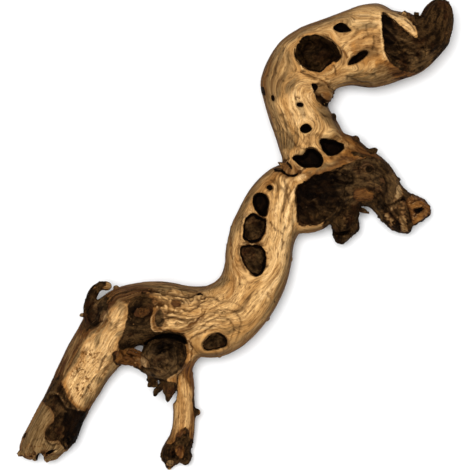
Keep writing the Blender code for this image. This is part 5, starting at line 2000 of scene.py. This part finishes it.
@dataclass(frozen=True)
class Finish:
    """How one kind of wood on the root answers light."""

    slot: str
    roughness: float = 0.58
    bark_roughness: float = 0.78
    streaks: float = 0.6
    relief: float = 0.25
    bark_relief: float = 0.5

    def material(self) -> bpy.types.Material:
        """Build the material from the masks and the grain on the mesh."""
        material = bpy.data.materials.new(self.slot)
        sheet = Sheet.on(material)
        masks = {mask: sheet.node("ShaderNodeAttribute", {"attribute_name": mask.value}, {}, "Fac") for mask in Mask}
        grain = sheet.node("ShaderNodeAttribute", {"attribute_name": "grain"}, {}, "Vector")
        place = sheet.node("ShaderNodeTexCoord", {}, {}, "Object").stretch(1 / MM, 1 / MM, 1 / MM)
        drift = sheet.noise(place, 0.07, 2.0)
        fine = sheet.noise(grain, 0.55, 5.0, 0.62)
        hair = sheet.noise(grain.stretch(1.0, 1.0, 0.7), 1.5, 2.0)
        vein = 1 - (sheet.noise(grain.stretch(1.0, 1.0, 0.8), 0.4, 2.0) - 0.5).size().rise(0.0, 0.03)
        broad = sheet.noise(grain, 0.14, 3.0)
        speck = sheet.noise(place, 0.6, 4.0, 0.7)
        grit = sheet.noise(grain.stretch(1.0, 1.0, 2.6), 0.8, 4.0, 0.72)
        ragged = (speck - 0.5) * 2.6 + (fine - 0.5) * 2.2
        flow = sheet.noise(grain.stretch(1.0, 1.0, 1.6), 0.22, 3.0, 0.55) * 0.7
        flow = flow + sheet.noise(place, 0.16, 4.0, 0.6) * 0.8 - 0.25

        tint = sheet.coats(PALETTE.mid, (fine.rise(0.36, 0.64), PALETTE.light),
                           (broad.rise(0.44, 0.64) * 0.7, PALETTE.honey),
                           (hair.rise(0.52, 0.68) * self.streaks, PALETTE.streak),
                           (vein * drift.rise(0.3, 0.55) * self.streaks, PALETTE.vein))
        stains = ((BLEACH, PALETTE.light, PALETTE.bleach), (AMBER, PALETTE.amber, PALETTE.amber_light),
                  (GREY, PALETTE.grey, PALETTE.grey_light), (RUST, PALETTE.rust, PALETTE.amber))
        for mask, low, high in stains:
            share = (masks[mask] + (fine - 0.5) * 0.7 * masks[mask].rise(0.0, 0.3)).rise(0.05, 0.95)
            tint = sheet.blend(share, tint, sheet.blend(fine.rise(0.36, 0.66), low, high))
        # the dust mask pales the wood, the bark and the hollow floors: dust, and painted highlight on ridges
        dust, cover, sunk = masks[DUST], masks[BARK], masks[HOLLOW]
        bark = sheet.coats(PALETTE.bark, (flow.rise(0.4, 0.62), PALETTE.bark_mid),
                           (speck.rise(0.56, 0.76) * 0.4, PALETTE.bark_light),
                           (drift.rise(0.5, 0.7) * 0.4, PALETTE.rust),
                           ((1 - speck.rise(0.34, 0.48)) * 0.85, PALETTE.hollow),
                           (dust * flow.rise(0.3, 0.6) * 0.65, PALETTE.bark_edge))
        rim = sheet.blend(fine.rise(0.4, 0.7), PALETTE.rust, PALETTE.amber)
        deep = sheet.coats(PALETTE.hollow, (flow.rise(0.4, 0.7), PALETTE.hollow_light),
                           (dust * flow.rise(0.3, 0.6) * 0.5, PALETTE.bark_light))
        covered = (cover + ragged * cover * (1 - cover) * 1.6).rise(0.3, 0.7)
        sunk = (sunk + ragged * sunk * (1 - sunk)).rise(0.25, 0.75)
        tint = sheet.coats(tint, (dust * 0.4, PALETTE.bleach), (cover.rise(0.02, 0.5) * 0.85, rim), (covered, bark),
                           (sunk, deep))
        # painted shade: the crease mask darkens the colour in creases, cracks and grooves
        tint = sheet.blend(masks[CREASE] * 0.85, tint, PALETTE.bark_light, "MULTIPLY")
        # painted shade in the valleys of the grain's bump
        tint = sheet.blend((1 - grit.rise(0.33, 0.5)) * 0.8, tint, PALETTE.shade, "MULTIPLY")
        dark = 1 - (1 - covered) * (1 - sunk)
        # painted highlight on the peaks of the grain's bump
        painted_highlight = sheet.blend(dark, PALETTE.painted_highlight, PALETTE.bark_painted_highlight)
        tint = sheet.blend(grit.rise(0.52, 0.66) * 0.7, tint, painted_highlight, "MULTIPLY")

        roughness = self.roughness + (self.bark_roughness - self.roughness) * dark + (fine - 0.5) * 0.12
        height = (fine * 0.5 + grit * 0.8) * self.relief * (1 - dark) + (speck + grit * 0.5) * self.bark_relief * dark
        normal = sheet.node("ShaderNodeBump", {}, {"Height": height, "Strength": 1.0, "Distance": 1.0 * MM})
        surface = sheet.node("ShaderNodeBsdfPrincipled", {}, {
            "Base Color": tint, "Roughness": roughness, "Normal": normal, "IOR": 1.42, "Specular IOR Level": 0.03})
        sheet.node("ShaderNodeOutputMaterial", {}, {"Surface": surface})
        return material


SAPWOOD = Finish("sapwood")
WEATHERED = Finish("weathered_wood", roughness=0.68, streaks=0.7, relief=0.32)
TAN = Finish("tan_wood", roughness=0.54, streaks=0.75)
DARK = Finish("dark_bark", roughness=0.6, bark_roughness=0.74, bark_relief=0.6)
RED = Finish("red_root", roughness=0.66, bark_roughness=0.7)

FAR = 9999.0               # beyond every column and row


@dataclass(frozen=True)
class Cut:
    """One finished piece: the node that it takes the place of, and how much of it."""

    name: str
    node: str
    finish: Finish
    columns: tuple[float, float] = (-FAR, FAR)
    rows: tuple[float, float] = (-FAR, FAR)

    def covers(self, block: Block) -> Array:
        """Mark the columns of the block that lie in the piece's share."""
        count_x, count_y = block.depth.shape[:2]
        column = (block.low[0] + np.arange(count_x) * block.step)[:, None] / PIXEL_MM + GRID_MIDDLE[0]
        row = GRID_MIDDLE[1] - (block.low[1] + np.arange(count_y) * block.step)[None, :] / PIXEL_MM
        in_columns = (column >= self.columns[0]) & (column < self.columns[1])
        return (in_columns & (row >= self.rows[0]) & (row < self.rows[1]))[..., None]


CUTS = (
    Cut("lower_trunk_skin", "trunk", SAPWOOD, rows=(283, FAR)),
    Cut("upper_trunk_skin", "trunk", SAPWOOD, rows=(-FAR, 283)),
    Cut("neck_skin", "upper_limb", SAPWOOD, rows=(97, FAR)),
    Cut("head_skin", "upper_limb", SAPWOOD, rows=(-FAR, 97), columns=(-FAR, 381)),
    Cut("claw_skin", "upper_limb", DARK, rows=(-FAR, 97), columns=(381, FAR)),
    *(Cut(node + "_skin", node, finish) for node, finish in {
        "long_leg": WEATHERED, "front_leg": TAN, "side_limb": DARK, "side_knob": DARK, "burl": DARK,
        "inner_knob": DARK, "curled_spur": DARK, "root_strand": RED, "bark_peg": DARK, "left_flake": DARK,
        "right_flake": DARK, "leg_peg": DARK}.items()),
)

COURSES = {
    "trunk": Course(path("""
        39,456,17 47,444,18.5 58,420,18.5 71,398,19.5 83,374,21.5 95,356,23.5 104,341,25.5 111,331,27 120,322,28.5
        131,316,29.5 146,313,30.5 167,314,31 189,319,31 207,322,31 223,318,30 236,307,29.5 245,293,29 252,277,28.5
        257,258,28 261,241,27.5 265,228,27 272,213,27 280,197,27.5 290,182,28.5 302,172,29.5 306,161,30 307,147,30
        307,129,29.5 300,113,28.5 295,102,27 292,92,26 296,82,25 303,73,25 311,64,26 323,58,27.5 337,53,29.5
        352,49,31 368,46,32 384,45,32.5 397,46,33 410,44,33 420,42,33 428,38,33.5 434,31,35 437,21,37 441,11,39
        442,3,40.5"""), 24),
    "side_limb": Course(path("""
        290,179,29 316,183,28.5 336,183,28 348,183,27 362,180,25.5 375,184,23.5 384,191,21.5 392,201,19.5
        400,209,17.5 410,214,15.8 418,218,15 425,218,14.5"""), 15, 400),
    "side_knob": Course(path("346,194,25 345,208,23.5 346,219,22 346,229,20.5 345,238,20 342,243,20"), 12, 700),
    "front_leg": Course(path("""
        189,331,28 185,353,26.5 183,366,25 182,374,23 183,385,20.5 184,398,18 184,414,15.5 183,430,13.5
        180,442,11.5 176,452,10.6 174,460,10.3 173,466,10"""), 11, 900),
    "curled_spur": Course(path("""
        92,318,30 90,306,30 92,297,30.5 96,289,31 102,285,32 109,286,32.5 111,287,32.5"""), 6, 1200),
    "root_strand": Course(path("107,356,26 120,358,27 132,358,28 142,362,29 154,365,30"), 6, 1400),
    "bark_peg": Course(path("154,368,29 153,387,27"), 5, 1600),
    "left_flake": Course(path("166,374,33 156,396,30"), 5, 1700),
    "right_flake": Course(path("172,377,37.5 170,403,33.5"), 5, 1800),
    "leg_peg": Course(path("184,414,17 198,413,18"), 5, 1900),
}

BARKED = {"side_limb": 1.0, "side_knob": 1.0, "burl": 1.0, "inner_knob": 1.0, "curled_spur": 0.8,
          "root_strand": 0.7, "bark_peg": 1.0, "left_flake": 1.0, "right_flake": 1.0, "leg_peg": 1.0}

KNOTS = marks(Knot, """
        318,54,50 17;
        357,58,50 7;
        342,29,50 6;
        323.5,95,44 9;
        299.5,105,48 2.4;
        306,129,48 3.4;
        332,147,47 11;
        307,161,47 12;
        269.5,187,46 4.5;
        261,203,46 9;
        255,228,46 12;
        254,260,46 13;
        215,341,46 12;
        141,312,54 9;
        92,312,42 7
""")


class Recipe(Sheet):
    """A sheet of geometry nodes that is run once and leaves a plain mesh."""

    def __init__(self, name: str) -> None:
        """Start a sheet that takes and gives geometry."""
        tree = bpy.data.node_groups.new(name, "GeometryNodeTree")
        super().__init__(tree)
        tree.interface.new_socket("Geometry", in_out="INPUT", socket_type="NodeSocketGeometry")
        tree.interface.new_socket("Geometry", in_out="OUTPUT", socket_type="NodeSocketGeometry")
        self.group_input = tree.nodes.new("NodeGroupInput")

    def ask(self, name: str, kind: str = "NodeSocketFloat") -> Wire:
        """Add a named input."""
        self.tree.interface.new_socket(name, in_out="INPUT", socket_type=kind)
        return Wire(self, self.group_input.outputs[name])

    def source(self) -> Wire:
        """Give the geometry that comes in."""
        return Wire(self, self.group_input.outputs["Geometry"])

    def named(self, name: str, kind: str = "FLOAT") -> Wire:
        """Read an attribute of the geometry."""
        return self.node("GeometryNodeInputNamedAttribute", {"data_type": kind}, {"Name": name}, "Attribute")

    def chance(self, low: object, high: object, seed: int, kind: str = "FLOAT") -> Wire:
        """Give a random number to each point."""
        end = {"FLOAT": "_001", "FLOAT_VECTOR": ""}[kind]
        return self.node("FunctionNodeRandomValue", {"data_type": kind},
                         {"Min" + end: low, "Max" + end: high, "Seed": seed}, "Value" + end)

    def wobble(self, shape: Wire, scale: float, detail: float, size: float) -> Wire:
        """Push the points of a shape to and fro at random, by up to half the size."""
        random = self.node("ShaderNodeTexNoise", {}, {"Scale": scale, "Detail": detail}, "Color")
        shift = self.node("ShaderNodeVectorMath", {"operation": "SUBTRACT"}, {0: random, 1: (0.5, 0.5, 0.5)})
        return self.node("GeometryNodeSetPosition", {}, {"Geometry": shape, "Offset": shift.stretch(size, size, size)})

    def deliver(self, shape: Wire) -> None:
        """Realize the shape, dress it and send it out."""
        real = self.node("GeometryNodeRealizeInstances", {}, {"Geometry": shape})
        material = self.ask("Material", "NodeSocketMaterial")
        dressed = self.node("GeometryNodeSetMaterial", {}, {"Geometry": real, "Material": material})
        self.node("NodeGroupOutput", {}, {0: dressed})

    def run(self, name: str, base: bpy.types.Mesh, values: dict[str, object]) -> bpy.types.Object:
        """Run the nodes on a mesh.

        Args:
            name: Name of the finished object.
            base: What comes in.
            values: The named inputs.

        Returns:
            An object with a plain mesh.
        """
        thing = put(name, base)
        modifier = thing.modifiers.new("recipe", "NODES")
        modifier.node_group = self.tree
        for item in self.tree.interface.items_tree:
            if item.in_out == "INPUT" and item.name in values:
                modifier[item.identifier] = values[item.name]
        thing.update_tag()
        bpy.context.view_layer.update()
        graph = bpy.context.evaluated_depsgraph_get()
        mesh = bpy.data.meshes.new_from_object(thing.evaluated_get(graph))
        thing.modifiers.clear()
        thing.data = mesh
        mesh.name = name
        bpy.data.meshes.remove(base)
        return thing


@dataclass(frozen=True)
class BarkChips:
    """Loose chips that stand on the dark bark."""

    density: float = 30000.0
    small: float = 0.7
    large: float = 1.9
    seed: int = 5

    def recipe(self) -> Recipe:
        """Build the nodes that scatter the chips by the bark mask."""
        sheet = Recipe("bark_chips")
        density = sheet.ask("Density")
        amount = sheet.named(BARK.value)
        scatter = sheet.node("GeometryNodeDistributePointsOnFaces", {}, {
            "Mesh": sheet.source(), "Density": amount.rise(0.75, 1.0) * density,
            "Seed": sheet.ask("Seed", "NodeSocketInt")})
        turn = Wire(sheet, scatter.output.node.outputs["Rotation"])
        chip = sheet.node("GeometryNodeMeshIcoSphere", {}, {"Radius": 1.0, "Subdivisions": 1})
        chip = sheet.wobble(chip, 1.7, 0.0, 1.4)
        spin = sheet.node("FunctionNodeRotateRotation", {"rotation_space": "LOCAL"}, {
            "Rotation": turn, "Rotate By": sheet.chance((-0.35, -0.35, -3.1), (0.35, 0.35, 3.1), 2, "FLOAT_VECTOR")})
        size = sheet.chance(sheet.ask("Smallest"), sheet.ask("Largest"), 3)
        flat = sheet.node("ShaderNodeCombineXYZ", {}, {0: size, 1: size * 0.62, 2: size * 0.3})
        chips = sheet.node("GeometryNodeInstanceOnPoints", {},
                           {"Points": scatter, "Instance": chip, "Rotation": spin, "Scale": flat})
        sheet.deliver(chips)
        return sheet

    def build(self, skin: Skin, material: bpy.types.Material) -> bpy.types.Object:
        """Scatter the chips over the skin."""
        return self.recipe().run("bark_chips", skin.mesh("chip_ground", skin.shell), {
            "Density": self.density, "Seed": self.seed, "Smallest": self.small * MM, "Largest": self.large * MM,
            "Material": material})


@dataclass(frozen=True)
class RootFibres:
    """Thin rootlets that run beside the root strand and into the crook behind it."""

    lines: tuple[tuple[Place, ...], ...] = (
        path("112,351,30.5 120,351.5,33 128,351,34 136,354,35 143,359,36 149,366,34"),
        path("113,358,29 121,357,32.5 130,359,34 137,364,34 142,371,31"),
        path("116,347,30 124,347.5,32 132,349.5,33 140,352.5,35.5 147,355,38"),
        path("118,362,28 124,363.5,31 130,364,31.5 136,366.5,30"),
    )
    radius: float = 1.35
    step: float = 0.8
    sides: int = 8

    def recipe(self) -> Recipe:
        """Build the nodes that turn lines into gnarled rootlets."""
        sheet = Recipe("root_fibres")
        radius = sheet.ask("Radius")
        curve = sheet.node("GeometryNodeMeshToCurve", {}, {"Mesh": sheet.source()})
        curve = sheet.node("GeometryNodeCurveSplineType", {"spline_type": "CATMULL_ROM"}, {"Curve": curve})
        step = sheet.ask("Step")
        curve = sheet.node("GeometryNodeResampleCurve", {"mode": "LENGTH"}, {"Curve": curve, "Length": step})
        curve = sheet.wobble(curve, 160.0, 1.0, 0.004)
        share = sheet.node("GeometryNodeSplineParameter", {}, {}, "Factor")
        swell = sheet.noise(sheet.node("GeometryNodeInputPosition", {}, {}), 420.0, 1.0)
        taper = (1 - share.rise(0.7, 1.05) * 0.6) * (0.55 + swell * 0.95)
        ring = sheet.node("GeometryNodeCurvePrimitiveCircle", {},
                          {"Resolution": sheet.ask("Sides", "NodeSocketInt"), "Radius": radius})
        body = sheet.node("GeometryNodeCurveToMesh", {},
                          {"Curve": curve, "Profile Curve": ring, "Scale": taper, "Fill Caps": True})
        for mask, amount in ((AMBER, 0.6), (RUST, 0.97), (BARK, 0.4)):
            body = sheet.node("GeometryNodeStoreNamedAttribute", {},
                              {"Geometry": body, "Name": mask.value, "Value": amount})
        sheet.deliver(body)
        return sheet

    def build(self, material: bpy.types.Material) -> bpy.types.Object:
        """Run the rootlets along their lines."""
        base = bpy.data.meshes.new("fibre_lines")
        points, edges = [], []
        for line in self.lines:
            edges += [(index, index + 1) for index in range(len(points), len(points) + len(line) - 1)]
            points += [(place_of(spot) * MM).tolist() for spot in line]
        base.from_pydata(points, edges, [])
        return self.recipe().run("root_fibres", base, {"Radius": self.radius * MM, "Step": self.step * MM,
                                                       "Sides": self.sides, "Material": material})


class Root:
    """The whole root: its limbs, its skin, and the pieces that the skin is cut into."""

    def __init__(self, step: float) -> None:
        """Name the limbs.

        Args:
            step: Width of the grid's cells in millimetres.
        """
        self.step = step
        self.limbs = (Trunk(), UpperLimb(), SideLimb(), LongLeg(), FrontLeg(), Underparts())
        self.materials = {finish.slot: finish.material() for finish in (SAPWOOD, WEATHERED, TAN, DARK, RED)}

    def build(self) -> None:
        """Build, dress and hand over every piece."""
        billet = Billet(self.step)
        block = billet.block()
        block.measure_top()
        LOG.info("block of %d x %d x %d cells", *block.depth.shape)
        for limb in self.limbs:
            limb.shape(block)
        skin = Skin(block, self.labels(block, billet.names))
        LOG.info("skin of %d points", len(skin.points))
        nodes = self.nodes_of(skin, block, billet.names)
        skin.lay_grain(COURSES, nodes, KNOTS)
        for node, cover in BARKED.items():
            skin.paint(BARK, nodes == node, cover)
        for limb in self.limbs:
            limb.mark(skin, block)
        Weather().wear(skin)
        skin.settle()
        for number, cut in enumerate(CUTS, 1):
            piece = skin.cut(number, cut.name, self.materials[cut.finish.slot])
            self.hand_over(piece, cut.finish, cut.node)
        self.hand_over(BarkChips().build(skin, self.materials[DARK.slot]), DARK)
        self.hand_over(RootFibres().build(self.materials[RED.slot]), RED)

    @staticmethod
    def hand_over(piece: bpy.types.Object, finish: Finish, *nodes: str) -> None:
        """Tie a finished piece to the body, and hide the nodes that it takes the place of."""
        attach(piece, BODY)
        if nodes:
            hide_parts(*nodes)
        LOG.info("%s: %d faces", piece.name, len(piece.data.polygons))

    @staticmethod
    def labels(block: Block, names: list[str]) -> Array:
        """Give each place in the wood the number of its piece."""
        labels = np.zeros(block.depth.shape, np.int8)
        inside = block.depth < 0
        for number, cut in enumerate(CUTS, 1):
            labels[inside & (block.owner == names.index(cut.node)) & cut.covers(block)] = number
        labels[inside & (labels == 0)] = 1
        return labels

    @staticmethod
    def nodes_of(skin: Skin, block: Block, names: list[str]) -> Array:
        """Name the node that each point of the skin belongs to."""
        cells = np.rint((skin.points - block.low) / block.step).astype(int)
        cells = np.clip(cells, 0, np.array(block.owner.shape) - 1)
        return np.array(names)[block.owner[tuple(cells.T)]]


@dataclass(frozen=True)
class Studio:
    """The pale floor, the soft light and the camera over them."""

    floor_side: float = 6.0
    floor_drop: float = 0.0002
    floor_tone: Colour = tone(0.84, 0.84, 0.84)
    world_tone: Colour = tone(1.0, 1.0, 1.0)
    world_strength: tuple[float, float, float] = (0.86, 0.95, 0.31)     # below, near and above the horizon
    lamps: tuple[tuple[str, Place, float, float], ...] = (
        ("key", (-0.28, 0.22, 3.0), 1.1, 96.0),
        ("fill", (0.5, -0.5, 2.6), 2.4, 12.0),
    )
    eye: Place = (0.0, -0.0008, 2.028)
    lens: float = 191.5
    sensor: float = 36.0

    def build(self) -> None:
        """Set up everything round the root."""
        half = self.floor_side / 2
        mesh = bpy.data.meshes.new("floor")
        corners = [(x, y, -self.floor_drop) for x, y in ((-half, -half), (half, -half), (half, half), (-half, half))]
        mesh.from_pydata(corners, [], [(0, 1, 2, 3)])
        floor = put("floor", mesh)
        mesh.materials.append(self.floor_material())
        world = bpy.data.worlds.new("studio")
        sheet = Sheet.on(world)
        below, near, above = self.world_strength
        way = sheet.node("ShaderNodeTexCoord", {}, {}, "Generated")
        height = sheet.node("ShaderNodeSeparateXYZ", {}, {0: way}, "Z")
        strength = below + height.rise(-0.02, 0.04) * (near - below) - height.rise(0.12, 0.4) * (near - above)
        light = sheet.node("ShaderNodeBackground", {}, {"Color": self.world_tone, "Strength": strength})
        sheet.node("ShaderNodeOutputWorld", {}, {"Surface": light})
        bpy.context.scene.world = world
        for name, place, size, power in self.lamps:
            self.lamp(name, place, size, power)
        bpy.context.scene.view_settings.view_transform = "Standard"
        self.camera()

    def floor_material(self) -> bpy.types.Material:
        """Build the floor's paint, with a faint unevenness."""
        material = bpy.data.materials.new("floor_paint")
        sheet = Sheet.on(material)
        place = sheet.node("ShaderNodeTexCoord", {}, {}, "Object")
        shade = sheet.blend(sheet.noise(place, 6.0) * 0.2, self.floor_tone, tone(0.8, 0.8, 0.8))
        surface = sheet.node("ShaderNodeBsdfPrincipled", {}, {"Base Color": shade, "Roughness": 0.9})
        sheet.node("ShaderNodeOutputMaterial", {}, {"Surface": surface})
        return material

    @staticmethod
    def lamp(name: str, place: Place, size: float, power: float) -> None:
        """Hang a square lamp that looks at the middle."""
        data = bpy.data.lights.new(name, "AREA")
        data.size, data.energy = size, power
        lamp = put(name, data)
        lamp.location = place
        lamp.rotation_euler = (-Vector(place)).to_track_quat("-Z", "Y").to_euler()

    def camera(self) -> None:
        """Hang the camera straight above the root."""
        data = bpy.data.cameras.new("camera")
        data.lens, data.sensor_width = self.lens, self.sensor
        data.clip_end = 30.0
        camera = put("camera", data)
        camera.location = self.eye
        bpy.context.scene.camera = camera


def main() -> None:
    """Build the root and its surroundings; the build logs the cells of its block and the faces of each piece."""
    logging.basicConfig(level=logging.INFO, format="%(message)s")
    Root(0.7).build()
    Studio().build()


if __name__ == "__main__":
    main()
